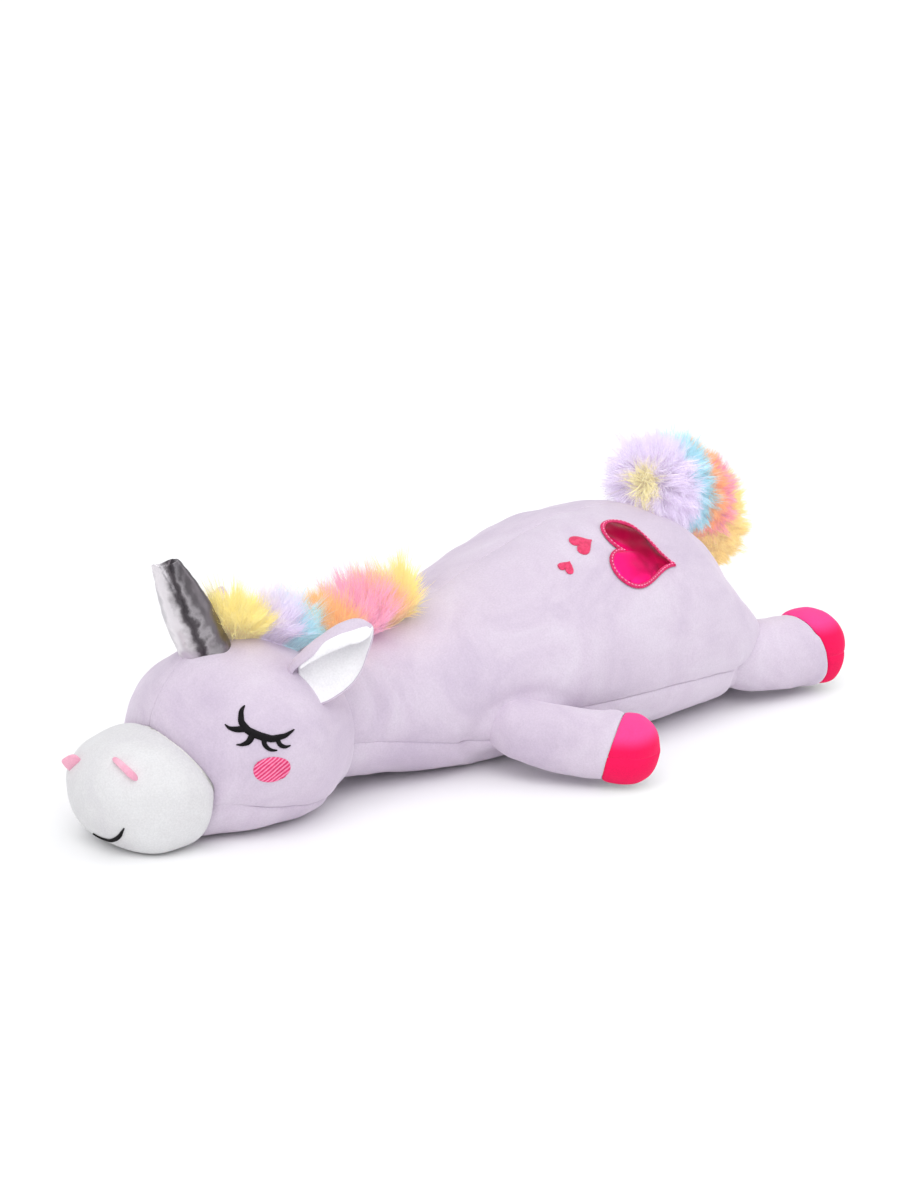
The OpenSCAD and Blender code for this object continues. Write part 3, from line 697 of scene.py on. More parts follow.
def panel(node, form, s, a0, a1, cells, body, blend=None):
    """Lavender cloth panel between two seam lines, which are functions of x or numbers."""
    x = form.f(s)[:, 0]
    lo, hi = (a(x)[..., 0] if callable(a) else np.full(len(s), float(a)) for a in (a0, a1))
    # The panel's edges are tucked a little way into the seam
    tuck = 0.32 / (np.maximum(form.radius(s), 6) * math.pi / 180)
    lo, hi = lo - tuck, hi + tuck
    A = lo[:, None] + (hi - lo)[:, None] * np.linspace(0, 1, cells + 1)[None]
    S = np.broadcast_to(s[:, None], A.shape)
    ob = wall(node + "_cover", form.pt(S, A), LAVENDER, thick=1.1)
    finish_piece(ob, node, body, blend)


def mirrored(line):
    return lambda x: 360 - line(x)


BS = rows(0, BODY_FORM.end - 0.05, 3.2)
panel("body_left_panel", BODY_FORM, BS, 0, belly_line, 58, "torso")
panel("body_right_panel", BODY_FORM, BS, mirrored(belly_line), 360, 58, "torso")
panel("belly_panel", BODY_FORM, BS, belly_line, mirrored(belly_line), 50, "torso")
HS = rows(0, HEAD_FORM.end, 2.6)
NECK = ("torso", "head", ((-112 + SHIFT) * MM, 0, 0.048), ((-146 + SHIFT) * MM, 0, 0.048))
panel("head_left_panel", HEAD_FORM, HS, 0, chin_line, 54, "head", NECK)
panel("head_right_panel", HEAD_FORM, HS, mirrored(chin_line), 360, 54, "head", NECK)
panel("chin_panel", HEAD_FORM, HS, chin_line, mirrored(chin_line), 40, "head", NECK)
MS = rows(0, MUZZLE_FORM.end, 2.4)
muzzle = skin("muzzle_cover_cloth", MUZZLE_FORM.pt(MS[:, None], around(120)[None]), WHITE, caps=(True, False))
finish_piece(muzzle, "muzzle_cover", "head")


# ---------------------------------------------------------------- legs
# Length of a hoof, in millimetres
HOOF = 30.0
# Points of each left leg's middle line, in millimetres; the third is where it leaves the body
FRONT_AXIS = [
    (16, -22, 40), (8, -42, 37), (-2, -66, 31.5), (11, -93, 27), (29.5, -121, 24.6), (46.5, -144.5, 23.8),
]
HIND_AXIS = [
    (168, -40, 38), (192, -52, 34), (217, -60, 31), (244, -64.5, 29.6), (269, -66.5, 28.6),
    (293.5, -67, 28.2),
]


def leg_form(axis, side, seed, size, slant):
    """Gives the leg's surface as a function of (length, angle), its length, its start and its middle line."""
    P = np.array(axis, float) * [1, side, 1] + [SHIFT, 0, 0]
    seg = lengths(P)
    path = pchip(seg - seg[2], P)
    length, start = seg[-1] - seg[2], -seg[2]
    radii = pchip(
        [start, -24, -8, 6, 20, length * 0.6, length - HOOF - 4]
        + [length - HOOF * share for share in (1, 0.55, 0.25, 0.08, 0)],
        np.array([9.0, 16.0, 19.6, 21.0, 22.0, 23.0, 24.0, 24.4, 23.6, 18.4, 10.6, 0.02]) * size,
    )
    end = unit((P[-1] - P[-2]) * [1, 1, 0])

    def pt(s, a):
        s, a = np.broadcast_arrays(np.asarray(s, float), np.asarray(a, float))
        ca, sa = np.cos(np.radians(a)), np.sin(np.radians(a))
        seam = s - (length - HOOF)
        # The hoof's seam runs slanting round the leg
        near_seam = smooth(length - HOOF - 34, length - HOOF - 6, s) * smooth(length, length - HOOF * 0.75, s)
        s = s + slant * sa * near_seam
        r = radii(s)[..., 0]
        h = unit((path(np.minimum(s + 1, length)) - path(np.maximum(s - 1, start))) * [1, 1, 0])
        h = np.where((s > length - 6)[..., None], end, h)
        across = np.stack([-h[..., 1], h[..., 0], 0 * s], -1)
        p = path(s) + across * (r * ca)[..., None]
        p[..., 2] += r * sa
        d = 0.5 * waves(p, 34, seed) + 0.22 * waves(p, 13, seed + 1)
        d += seam_dip(seam, a * 0.44, seed, depth=1.0, pull=0.8, pucker=0.28, pitch=5)
        # A seam runs along each side, and between the two parts of the hoof
        mid = np.minimum(from_top(a), np.abs(a % 360 - 180)) * r * math.pi / 180
        strength = 0.3 + 0.7 * smooth(length - HOOF - 2, length - HOOF + 2, s)
        d += seam_dip(mid, s, seed + 4, depth=0.7, pull=0.6, pucker=0.2, pitch=5) * strength
        d *= smooth(0, 10, r)
        n = across * ca[..., None]
        n[..., 2] += sa
        p = p + n * d[..., None]
        p[..., 2] = rest_on_floor(p[..., 2], 4.0)
        return p

    return pt, length, start, path


def leg(key, pt, length, start, path, joint_at):
    """Cover and hoof of one leg."""
    root, past_joint = (tuple(path(np.array(at)) * MM) for at in (0.0, joint_at + 8))
    s = np.linspace(start, length - HOOF, 48)
    ob = skin(key + "_cover_cloth", pt(s[:, None], around(72)[None]), LAVENDER)
    finish_piece(ob, key + "_cover", key, ("torso", key, root, past_joint))
    # Rows of the hoof, closer together where it rounds over to its end
    tip = length - 6 * np.array([0.8, 0.6, 0.42, 0.28, 0.16, 0.07, 0.01])
    s = np.concatenate([np.linspace(length - HOOF, length - 6, 11), tip])
    for part, lo, hi, mat, slot in (
        ("upper", -1, 181, HOT_PINK, "hot_pink_velour"),
        ("lower", 179, 361, DEEP_PINK, "deep_pink_velour"),
    ):
        a = np.linspace(lo, hi, 37)
        ob = wall(f"{key}_hoof_{part}_cloth", pt(s[:, None], a[None]), mat, thick=1.2)
        ob.visible_diffuse = False
        finish_piece(ob, f"{key}_hoof_{part}", key)


LEGS = {}
for where, axis, joint_at, size, slant in (
    ("front", FRONT_AXIS, 32.0, 0.965, 6.0),
    ("hind", HIND_AXIS, 38.0, 1.14, -6.5),
):
    for hand, side in (("left", 1), ("right", -1)):
        key = f"leg_{where}_{hand}"
        pt, length, start, path = leg_form(axis, side, 40 + 7 * len(LEGS), size, slant)
        LEGS[key] = (pt, length)
        leg(key, pt, length, start, path, joint_at)


# ---------------------------------------------------------------- horn
def horn():
    fore = np.array([math.cos(HORN_LEAN), 0, math.sin(HORN_LEAN)])
    side = np.array([0, 1.0, 0])
    base = HORN_FOOT - HORN_AXIS * 6
    half_widths = pchip(
        [0, 0.08, 0.457, 0.67, 0.9, 1.0],
        [[15.9, 15.9], [15.8, 15.6], [14.8, 14.2], [12.6, 11.2], [9.4, 6.6], [7.8, 3.9]],
    )
    t = np.linspace(0, 1, 60)
    T, A = np.meshgrid(t, np.linspace(0, 2 * math.pi, 181)[:-1], indexing="ij")
    r = half_widths(t)
    ca, sa = np.cos(A), np.sin(A)
    u = r[:, 0][:, None] * np.sign(ca) * np.abs(ca) ** (1 - 0.25 * T)
    v = r[:, 1][:, None] * np.sign(sa) * np.abs(sa) ** (1 - 0.1 * T)
    # Long soft folds of the cloth, small cross crinkles, and a pinched seam on the front
    fold = 0.5 * np.sin(2 * A + 2.4 * T + 0.6) + 0.42 * np.sin(4 * A - 3.0 * T + 1.1)
    fold = fold + 0.14 * np.sin(9 * A + 4 * T)
    ring = 0.22 * np.sin(30 * T + 2.0 * np.sin(2 * A) + 1.5 * np.sin(5 * T + A))
    ring = ring * (0.35 + np.exp(-(((T - 0.12) / 0.16) ** 2)))
    ring += 0.16 * np.sin(47 * T + 3.1 * np.cos(3 * A)) * (0.2 + np.exp(-(((T - 0.85) / 0.16) ** 2)))
    from_seam = (A - 4.35 + math.pi) % (2 * math.pi) - math.pi
    groove = -1.5 * np.exp(-((from_seam / 0.22) ** 2)) * smooth(0.3, 0.9, T)
    q = 1 + ((fold + ring) * smooth(0, 0.12, T) + groove) / np.maximum(np.hypot(u, v), 2)
    dip = np.where(T > 0.88, ((T - 0.88) / 0.12) ** 2, 0)
    rise = HORN_LENGTH * T + dip * (0.9 * np.cos(2 * A) - 3.2 * np.cos(A) + 0.6)
    P = base + HORN_AXIS * rise[..., None] + fore * (u * q)[..., None] + side * (v * q)[..., None]
    # Tip: the cloth is turned in, with a dip between its two corners
    top = P[-1]
    c = top.mean(0)
    turned_in = [
        (c + (top - c) * share - HORN_AXIS * down)[None]
        for share, down in ((0.9, -0.1), (0.72, 1.2), (0.45, 2.8), (0.15, 3.6))
    ]
    ob = skin("horn_cloth", np.concatenate([P, *turned_in]), SILVER, caps=(False, True))
    finish_piece(ob, "horn_cover", "head")


horn()


# ---------------------------------------------------------------- ears
def ear_frame(side):
    """Root, length direction, upward direction across the leaf, and the way the leaf opens."""
    e1 = unit([0.66, -0.50, 0.56]) if side > 0 else unit([0.56, -0.74, 0.35])
    fwd = np.array([-0.64, -0.71, 0.28])
    fwd = unit(fwd - (fwd @ e1) * e1)
    up = np.cross(fwd, e1)
    up = up if up[2] > 0 else -up
    m = np.array([1, side, 1])
    root = np.array([-153.2 + SHIFT, -46.1, 85.0])
    return root * m, e1 * m, up * m, fwd * m


# Outline and folded edge, in millimetres across the leaf, from the root (0) to the tip (1)
EAR_EDGE = pchip(
    [-0.14, 0.0, 0.10, 0.24, 0.40, 0.52, 0.67, 0.80, 0.90, 0.96, 1.0],
    np.stack([
        [-8.0, -11.6, -12.8, -13.1, -12.2, -10.4, -6.1, -0.6, 3.6, 6.2, 9.2],
        [14.5, 18.0, 19.2, 20.4, 21.2, 21.2, 20.6, 19.2, 17.0, 14.6, 10.4],
        [11.5, 13.0, 13.1, 12.9, 12.0, 10.8, 9.0, 6.0, 5.8, 7.4, 9.8],
    ], 1),
)
EAR_CURL = pchip([-0.14, 0, 0.25, 0.55, 0.85, 1.0], [0.3, 0.5, 0.85, 1.0, 0.7, 0.15])
# Across the leaf: share of the way up, share of the way down again, and depth of the pocket
EAR_CROSS = pchip(
    [-1, -0.75, -0.4, 0.0, 0.3, 0.48, 0.56, 0.68, 0.82, 0.93, 1.0],
    [
        [0, 0, 3.0], [0.07, 0, -0.9], [0.27, 0, -3.6], [0.56, 0, -4.6], [0.81, 0, -3.6], [0.95, 0, -0.4],
        [1, 0, 2.6], [1, 0.16, 7.0], [1, 0.5, 10.0], [1, 0.82, 10.6], [1, 1, 9.2],
    ],
)
EAR_LENGTH = 51


def ear_section(u, v):
    """Height across the leaf and depth of the pocket, in millimetres."""
    low, top, flap = np.moveaxis(EAR_EDGE(u), -1, 0)
    rise, fall, depth = np.moveaxis(EAR_CROSS(v), -1, 0)
    h = low + (top - low) * rise - (top - flap) * fall
    return h, depth * EAR_CURL(u)[..., 0] * np.minimum((top - low) / 24, 1)


def ear(hand, side):
    root, e1, up, fwd = ear_frame(side)

    def pt(u, v, off):
        u, v, off = np.broadcast_arrays(np.asarray(u, float), np.asarray(v, float), np.asarray(off, float))
        h, f = ear_section(u, v)
        p = root + e1 * (EAR_LENGTH * u)[..., None] + up * h[..., None] + fwd * (f - 1.5 * u)[..., None]
        h1, f1 = ear_section(u, np.minimum(v + 0.03, 1))
        h0, f0 = ear_section(u, np.maximum(v - 0.03, -1))
        n = unit(up * (f0 - f1)[..., None] + fwd * (h1 - h0)[..., None])
        lump = 0.3 * waves(p, 24, 61) + 0.14 * waves(p, 9, 62)
        return p + n * (off + lump)[..., None]

    def leaf(layer, outer, inner, mat):
        ob = wall(f"ear_{hand}_{layer}_cloth", outer, mat, inner=inner)
        finish_piece(ob, f"ear_{hand}_{layer}", f"ear_{hand}")

    u = np.concatenate([np.linspace(-0.12, 0.9, 30), [0.93, 0.955, 0.975, 0.99, 1.0]])
    U, V = np.meshgrid(u, np.linspace(-1, 1, 49), indexing="ij")
    tip = smooth(1.0, 0.9, U)
    Vo = (V + 1) * 0.955 - 1
    plump = (1 - np.abs(V) ** 6) * tip
    leaf("outer", pt(U, Vo, -0.9 - 1.2 * plump), pt(U, Vo, -0.05), LAVENDER)
    # The lining reaches past the outer cloth along the upper fold and shows there as a padded white rim
    Vl = (V + 1) * 0.985 - 0.97
    start = 0.93 - 0.2 * smooth(0.0, 0.4, U)
    rim = smooth(start, start + 0.09, Vl)
    U = 1 - (1 - U) * (1 - 0.13 * smooth(-0.1, 0.6, V))
    leaf("lining", pt(U, Vl, 0.4 + 1.1 * plump), pt(U, Vl, 0.05 - 2.3 * rim * tip), LIT_LINING)


ear("left", 1)
ear("right", -1)


# ---------------------------------------------------------------- threads
def tube_mesh(name, P, s, up, rad, mat, sides, flat=1.0):
    """Many short tubes in one mesh: (n, k) middle points and radii, and two directions across."""
    n, k = rad.shape
    th = np.linspace(0, 2 * math.pi, sides, endpoint=False)
    ring = (
        P[:, :, None]
        + s[:, :, None] * (rad[..., None] * np.cos(th))[..., None]
        + up[:, :, None] * (rad[..., None] * flat * np.sin(th))[..., None]
    )
    i, j, q = np.meshgrid(np.arange(n), np.arange(k - 1), np.arange(sides), indexing="ij")
    b = (i * k + j) * sides
    q2 = (q + 1) % sides
    F = np.stack([b + q, b + q2, b + sides + q2, b + sides + q], -1).reshape(-1, 4)
    me = bpy.data.meshes.new(name)
    me.vertices.add(n * k * sides)
    me.vertices.foreach_set("co", (ring.reshape(-1, 3) * MM).reshape(-1))
    me.loops.add(F.size)
    me.loops.foreach_set("vertex_index", F.reshape(-1).astype(np.int32))
    me.polygons.add(len(F))
    me.polygons.foreach_set("loop_start", np.arange(0, F.size, 4, dtype=np.int32))
    me.polygons.foreach_set("use_smooth", np.ones(len(F), bool))
    me.update(calc_edges=True)
    me.validate()
    me.materials.append(mat)
    return link(name, me)


def tubes(name, paths, ups, radius, mat, sides=5, flat=0.8, taper=0.0):
    """Threads along paths of (n, k) points in millimetres; ups are the cloth's normals there."""
    P = np.asarray(paths, float)
    n, k = P.shape[:2]
    d = unit(np.gradient(P, axis=1))
    s = unit(np.cross(d, unit(ups)))
    rad = np.full((n, k), radius) * (1 - taper * np.abs(2 * np.linspace(0, 1, k) - 1) ** 3)[None]
    return tube_mesh(name, P, s, np.cross(s, d), rad, mat, sides, flat)


def surface_xy(form, c, u, v):
    """(u, v) millimetres round a centre (x, angle) on a form, as (s, a) on it."""
    s0 = form.at_x(c[0])
    return s0 + np.asarray(u), c[1] + np.asarray(v) / (form.radius(s0) * math.pi / 180)


def stitch_rows(c, d, w, x, slant):
    """Points across a line c with directions d: w is the half width, x runs from -1 to 1."""
    n = np.stack([-d[:, 1], d[:, 0]], 1)
    return c[:, None] + n[:, None] * (w[:, None] * x)[..., None] + d[:, None] * (slant * x)[..., None]


def satin(path, lift, rad, name, side, off=0.35, slant=0.35):
    """Satin stitch on the head: black threads across a path of (x, angle, half width in mm)."""
    form, pitch = HEAD_FORM, 0.36
    path = np.array(path, float)
    r = form.radius(form.at_x(path[:, 0].mean())) * math.pi / 180
    uv = np.stack([form.at_x(path[:, 0]), path[:, 1] * r], 1)
    seg = lengths(uv)
    f = pchip(seg, np.column_stack([uv, path[:, 2]]))
    t = np.arange(0, seg[-1], pitch)
    q = f(t)
    d = unit(f(np.minimum(t + 0.3, seg[-1]))[:, :2] - f(np.maximum(t - 0.3, 0))[:, :2])
    w = q[:, 2] * (1 + 0.05 * np.sin(t * 9.7) + 0.03 * np.sin(t * 23.1))
    x = np.linspace(-1, 1, 7)
    c = stitch_rows(q[:, :2], d, w, x, slant * w[:, None])
    h = off + lift * np.sqrt(np.maximum(1 - x**2, 0))[None] * np.minimum(w / 1.5, 1)[:, None]
    P, N = form.over(c[..., 0], c[..., 1] / r * side, h)
    return tubes(name, P, N, rad, BLACK_THREAD)


# The closed eye and its lashes: x, angle from the top, half width in millimetres
EYE = [
    (-205.9, 52.8, 0.3), (-208.6, 54.2, 1.1), (-210.6, 56.6, 1.6), (-212.4, 60.8, 2.1), (-211.7, 65.2, 2.5),
    (-208.6, 69.5, 2.6), (-203.5, 73.2, 2.4), (-197.2, 75.5, 2.0), (-190.2, 75.5, 1.4), (-186, 74.6, 0.9),
    (-182.2, 73.5, 0.3),
]
LASHES = [
    [
        (-212.4, 64.6, 1.8), (-215.4, 63.4, 1.8), (-218.2, 61.6, 1.5),
        (-220.2, 59.2, 0.95), (-220.9, 56.4, 0.3),
    ],
    [
        (-209.8, 69.0, 2.0), (-212.7, 71.8, 1.9), (-215.4, 72.9, 1.5),
        (-218.4, 72.7, 0.95), (-221.4, 71.3, 0.3),
    ],
    [
        (-204.4, 74.0, 1.9), (-204.9, 77.2, 1.7), (-203.3, 80.2, 1.3),
        (-200.6, 82.0, 0.85), (-197.0, 82.8, 0.3),
    ],
    [
        (-195.2, 76.6, 1.7), (-194.5, 79.4, 1.5), (-192.4, 81.3, 1.2),
        (-190.0, 82.0, 0.8), (-187.4, 81.8, 0.3),
    ],
]


def eye(hand, side):
    # The face is turned a little, so the right eye sits further round
    turn = np.array([0, 0, 0]) if side > 0 else np.array([14.0, 14.0, 0])
    obs = [satin(np.array(EYE) + turn, 0.75, 0.27, "eyelid", side)]
    for i, lash in enumerate(LASHES):
        obs.append(satin(np.array(lash) + turn, 0.6, 0.26, f"lash_{i}", side, off=0.3, slant=-0.25))
    ob = join(f"eye_{hand}_stitches", obs)
    finish_piece(ob, f"eye_{hand}", "head")


def cheek(hand, side):
    """Fill of long diagonal threads: light pink ridges with darker rows between them, a painted highlight on
    the ridges and painted shade in the rows.
    """
    centre, half_long, half_high = (-202.5, 93.2), 15.2, 7.5
    tilt, hatch = math.radians(5.5), math.radians(-24)
    d = np.array([math.cos(hatch), math.sin(hatch)])
    n = np.array([-d[1], d[0]])
    to_oval = np.array([[math.cos(tilt), math.sin(tilt)], [-math.sin(tilt), math.cos(tilt)]])
    k = 12
    edge = np.sqrt(np.clip(1 - np.abs(np.linspace(-1, 1, k)) ** 6, 0, 1))
    threads = {True: [], False: []}
    t = np.linspace(-18, 18, 400)
    thread_pitch, ridge_pitch = 0.42, 2.1
    for row, across in enumerate(np.arange(-12, 12, thread_pitch)):
        r = (across * n + t[:, None] * d) @ to_oval.T
        inside = (r[:, 0] / half_long) ** 2 + (r[:, 1] / half_high) ** 2 < 1
        if inside.sum() < 8:
            continue
        tt = np.linspace(t[inside].min(), t[inside].max(), k)
        q = across * n + tt[:, None] * d
        S, A = surface_xy(HEAD_FORM, centre, q[:, 0], q[:, 1])
        ridge = 0.5 + 0.5 * math.cos(2 * math.pi * across / ridge_pitch)
        h = 0.15 + (0.35 + 0.3 * ridge) * edge + 0.06 * np.sin(tt * 1.7 + row * 2.1)
        # Ridge rows take the painted highlight, the rows between take painted shade
        threads[ridge > 0.74].append(HEAD_FORM.over(S, A * side, h))
    fill = []
    for is_lit_ridge, mat in ((True, RIDGE_HIGHLIGHT_THREAD), (False, ROW_SHADE_THREAD)):
        paths, ups = zip(*threads[is_lit_ridge])
        fill.append(tubes("cheek_threads", paths, np.array(ups), 0.27, mat, flat=0.85))
    ob = join(f"cheek_{hand}_stitches", fill)
    finish_piece(ob, f"cheek_{hand}", "head")


for hand, side in (("left", 1), ("right", -1)):
    eye(hand, side)
    cheek(hand, side)


def muzzle_front():
    """Gives a function that lays (y, z) points on the front of the muzzle."""
    s = np.linspace(1, MUZZLE_FORM.end, 160)
    a = np.linspace(90, 270, 241)
    flat = MUZZLE_FORM.pt(s[:, None], a[None]).reshape(-1, 3)
    tree = KDTree(len(flat))
    for i, p in enumerate(flat):
        tree.insert((0, p[1], p[2]), i)
    tree.balance()

    def lay(yy, zz):
        out = []
        for y, z in zip(yy.ravel(), zz.ravel()):
            near = tree.find_n((0, y, z), 6)
            weight = np.array([1 / (far + 0.05) for _, _, far in near])
            x = (flat[[i for _, i, _ in near], 0] * weight).sum() / weight.sum()
            out.append((x, y, z))
        return np.array(out).reshape(*yy.shape, 3)

    return lay


def mouth():
    """Smile on the lower front of the muzzle, through (y, z, half width) points."""
    smile = pchip(
        [0, 0.16, 0.42, 0.66, 0.84, 1.0],
        [[3.6, 9.6, 0.2], [-1.4, 8.2, 0.5], [-9.9, 8.7, 0.85], [-17, 11.4, 1.05], [-22.3, 15.2, 0.9],
         [-26.9, 21.0, 0.2]],
    )
    y, z, w = smile(np.linspace(0, 1, 130)).T
    x = np.linspace(-1, 1, 7)
    d = unit(np.stack([np.gradient(y), np.gradient(z)], 1))
    Y = y[:, None] + (w * d[:, 1])[:, None] * x[None] + (0.3 * w * d[:, 0])[:, None] * x[None]
    Z = z[:, None] - (w * d[:, 0])[:, None] * x[None] + (0.3 * w * d[:, 1])[:, None] * x[None]
    P = muzzle_front()(Y, Z)
    # Outward there is mostly -X, turning down and sideways with the ball
    c = np.array([-262 + SHIFT, 0, 37.0])
    N = unit((P - c) / np.array([26.0, 50.0, 38.0]) ** 2)
    h = 0.2 + 0.7 * np.sqrt(np.clip(1 - x**2, 0, 1))
    ob = tubes("mouth_stitches", P + N * h[None, :, None], N, 0.27, BLACK_THREAD)
    finish_piece(ob, "mouth_stitching", "head")


mouth()


def nostril(hand, xs, angles, half_thick, half_high, middle, lean):
    """Folded tab along a short line of (x, angle) points on the muzzle."""
    t = np.linspace(0, 1, 25)
    knots = np.linspace(0, 1, 5)
    S, A = np.interp(t, knots, MUZZLE_FORM.at_x(np.array(xs))), np.interp(t, knots, np.array(angles))
    C = MUZZLE_FORM.pt(S, A)
    N = unit(MUZZLE_FORM.normal(S, A) + np.array([-0.25, 0, lean]))
    W = np.cross(unit(np.gradient(C, axis=0)), N)
    size = np.sqrt(np.clip(1 - np.abs(2 * t - 1) ** 5, 0.004, 1)) * (0.8 + 0.25 * t)
    # Cross-section of a folded strip: two layers with a dimple between them at the base
    th = np.linspace(0, 2 * math.pi, 33)[:-1]
    cx = half_thick * np.cos(th) * (1 - 0.12 * np.sin(th)) + 0.2 * np.sin(3 * th)
    cy = half_high * np.sin(th) + middle + 0.35 * np.cos(2 * th)
    P = C[:, None] + W[:, None] * (cx[None] * size[:, None])[..., None]
    P = P + N[:, None] * (cy[None] * size[:, None] - 0.9)[..., None]
    P += 0.18 * waves(P, 6, 77)[..., None] * N[:, None]
    ob = skin(f"nostril_{hand}_tab", P, ROSE, caps=(True, True))
    finish_piece(ob, f"nostril_{hand}", "head")


nostril(
    "left", [-275.7, -275.9, -276.0, -275.9, -275.4], [19.5, 28.5, 37.5, 46.0, 54.0],
    half_thick=2.35, half_high=3.6, middle=3.0, lean=0.35,
)
nostril(
    "right", [-281.4, -282.2, -282.8, -283.2, -283.3], [-24.0, -31.5, -39.0, -46.5, -54.0],
    half_thick=2.1, half_high=4.9, middle=4.2, lean=0.75,
)


# ---------------------------------------------------------------- hearts
def heart_outline(n, scale):
    """n points round a heart, as (along the body, round the body)."""
    t = np.linspace(0, 2 * math.pi, n, endpoint=False)
    h = 16 * np.sin(t) ** 3
    v = 13 * np.cos(t) - 5 * np.cos(2 * t) - 2 * np.cos(3 * t) - np.cos(4 * t)
    return np.stack([-(v + 3.5), h], 1) * scale


def turned(p, deg):
    """Flat points, turned by an angle."""
    c, s = math.cos(math.radians(deg)), math.sin(math.radians(deg))
    return p @ np.array([[c, s], [-s, c]])


HEART_AT, HEART_TURN, HEART_SIZE = (115.8, 40.0), 28.7, 1.62
HEART_FOIL = foil("heart_foil", 0.27, 0.25, 60, painted_heart_reflections)


def over_body(centre, q, height):
    """Points at a height over the body from a flat drawing round a centre, and the normals there."""
    S, A = surface_xy(BODY_FORM, centre, q[..., 0], q[..., 1])
    return BODY_FORM.over(S, A, height)


def foil_heart():
    rim = turned(heart_outline(160, HEART_SIZE), HEART_TURN)
    k = np.concatenate([np.linspace(0.015, 0.9, 26), [0.94, 0.975, 1.0]])[:, None]
    base, N = over_body(HEART_AT, rim[None] * k[..., None], np.zeros((29, 160)))
    th = np.linspace(0, 2 * math.pi, 160, endpoint=False)[None]
    crease = 0.35 * np.sin(9 * th + 1.3) * smooth(0.35, 0.95, k)
    crease = crease + 0.2 * np.sin(23 * th) * smooth(0.7, 0.97, k)
    puff = 2.1 * np.sqrt(np.clip(1 - k**3, 0, 1))
    h = 0.5 + puff + crease * 0.8 + 0.5 * waves(base, 17, 91) * (1 - k**4)
    ob = skin("heart_foil_cloth", base + N * h[..., None], HEART_FOIL, caps=(True, False))
    finish_piece(ob, "heart_foil", "torso")


def heart_edge():
    """Satin edge round the foil, and the dashed topstitch on it."""
    rim = turned(heart_outline(900, HEART_SIZE * 1.015), HEART_TURN)
    loop = np.vstack([rim, rim[:1]])
    seg = lengths(loop)
    total = seg[-1]
    thread_pitch, dash_pitch = 0.4, 2.55

    def rim_at(t):
        t = np.mod(t, total)
        return np.stack([np.interp(t, seg, loop[:, 0]), np.interp(t, seg, loop[:, 1])], -1)

    t = np.linspace(0, total, int(total / thread_pitch), endpoint=False)
    d = unit(rim_at(t + 0.8) - rim_at(t - 0.8))
    x = np.linspace(-1, 1, 6)
    q = stitch_rows(rim_at(t), d, 1.45 * (1 + 0.05 * np.sin(t * 3.1)), x, 0.35)
    P, N = over_body(HEART_AT, q, (0.7 + 1.0 * np.sqrt(1 - x**2))[None])
    edge = tubes("heart_edge", P, N, 0.3, EDGE_THREAD)
    x = np.linspace(-0.72, 0.72, 5)
    q = rim_at(np.arange(0, total, dash_pitch)[:, None] + x[None])
    P, N = over_body(HEART_AT, q, (1.75 + 0.22 * np.cos(x * 2))[None])
    dash = tubes("heart_dashes", P, N, 0.33, DASH_THREAD, sides=6, taper=0.5)
    ob = join("heart_edge_stitches", [edge, dash])
    finish_piece(ob, "heart_edge_stitching", "torso")


foil_heart()
heart_edge()


def small_heart(node, centre, scale, turn):
    """Small heart filled with satin threads across it."""
    rim = turned(heart_outline(240, scale), turn)
    d = turned(np.array([[1.0, 0.0]]), turn - 58)[0]
    n = np.array([-d[1], d[0]])
    a, b = rim, np.roll(rim, -1, axis=0)
    across_a, across_b = a @ n, b @ n
    x = np.linspace(0, 1, 8)
    threads = []
    for row in np.arange(across_a.min() + 0.15, across_a.max(), 0.4):
        cross = (across_a - row) * (across_b - row) < 0
        share = ((row - across_a) / np.where(across_b == across_a, 1, across_b - across_a))[cross]
        hits = np.sort((a[cross] + (b - a)[cross] * share[:, None]) @ d)
        for lo, hi in zip(hits[::2], hits[1::2]):
            if hi - lo < 0.4:
                continue
            q = row * n + (lo + (hi - lo) * x)[:, None] * d
            h = 0.2 + 0.75 * np.sqrt(np.clip(1 - (2 * x - 1) ** 4, 0, 1)) * min((hi - lo) / 3, 1)
            threads.append(over_body(centre, q, h))
    paths, ups = zip(*threads)
    ob = tubes(node + "_stitches", paths, np.array(ups), 0.26, RED_THREAD, flat=0.85)
    finish_piece(ob, node, "torso")


small_heart("small_heart_rear", (80.8, 25.4), 0.5, 5)
small_heart("small_heart_front", (59.2, 31.7), 0.33, -26)


# ---------------------------------------------------------------- fur
# Height above the floor at which the pile is trimmed, and where the tail's strands stop before it
TRIM, TAIL_TRIM = 187.8, 186.5
CLUMPING = 0.72
MANE_HALF = 11.5


def set_strip_uv(me, u, v):
    """Gives each vertex its place along the strip (u) and its height on the strand (v)."""
    index = np.empty(len(me.loops), np.int32)
    me.loops.foreach_get("vertex_index", index)
    uv = np.stack([u[index], v[index]], 1).reshape(-1).astype(np.float32)
    me.uv_layers.new(name="OFBake").data.foreach_set("uv", uv)


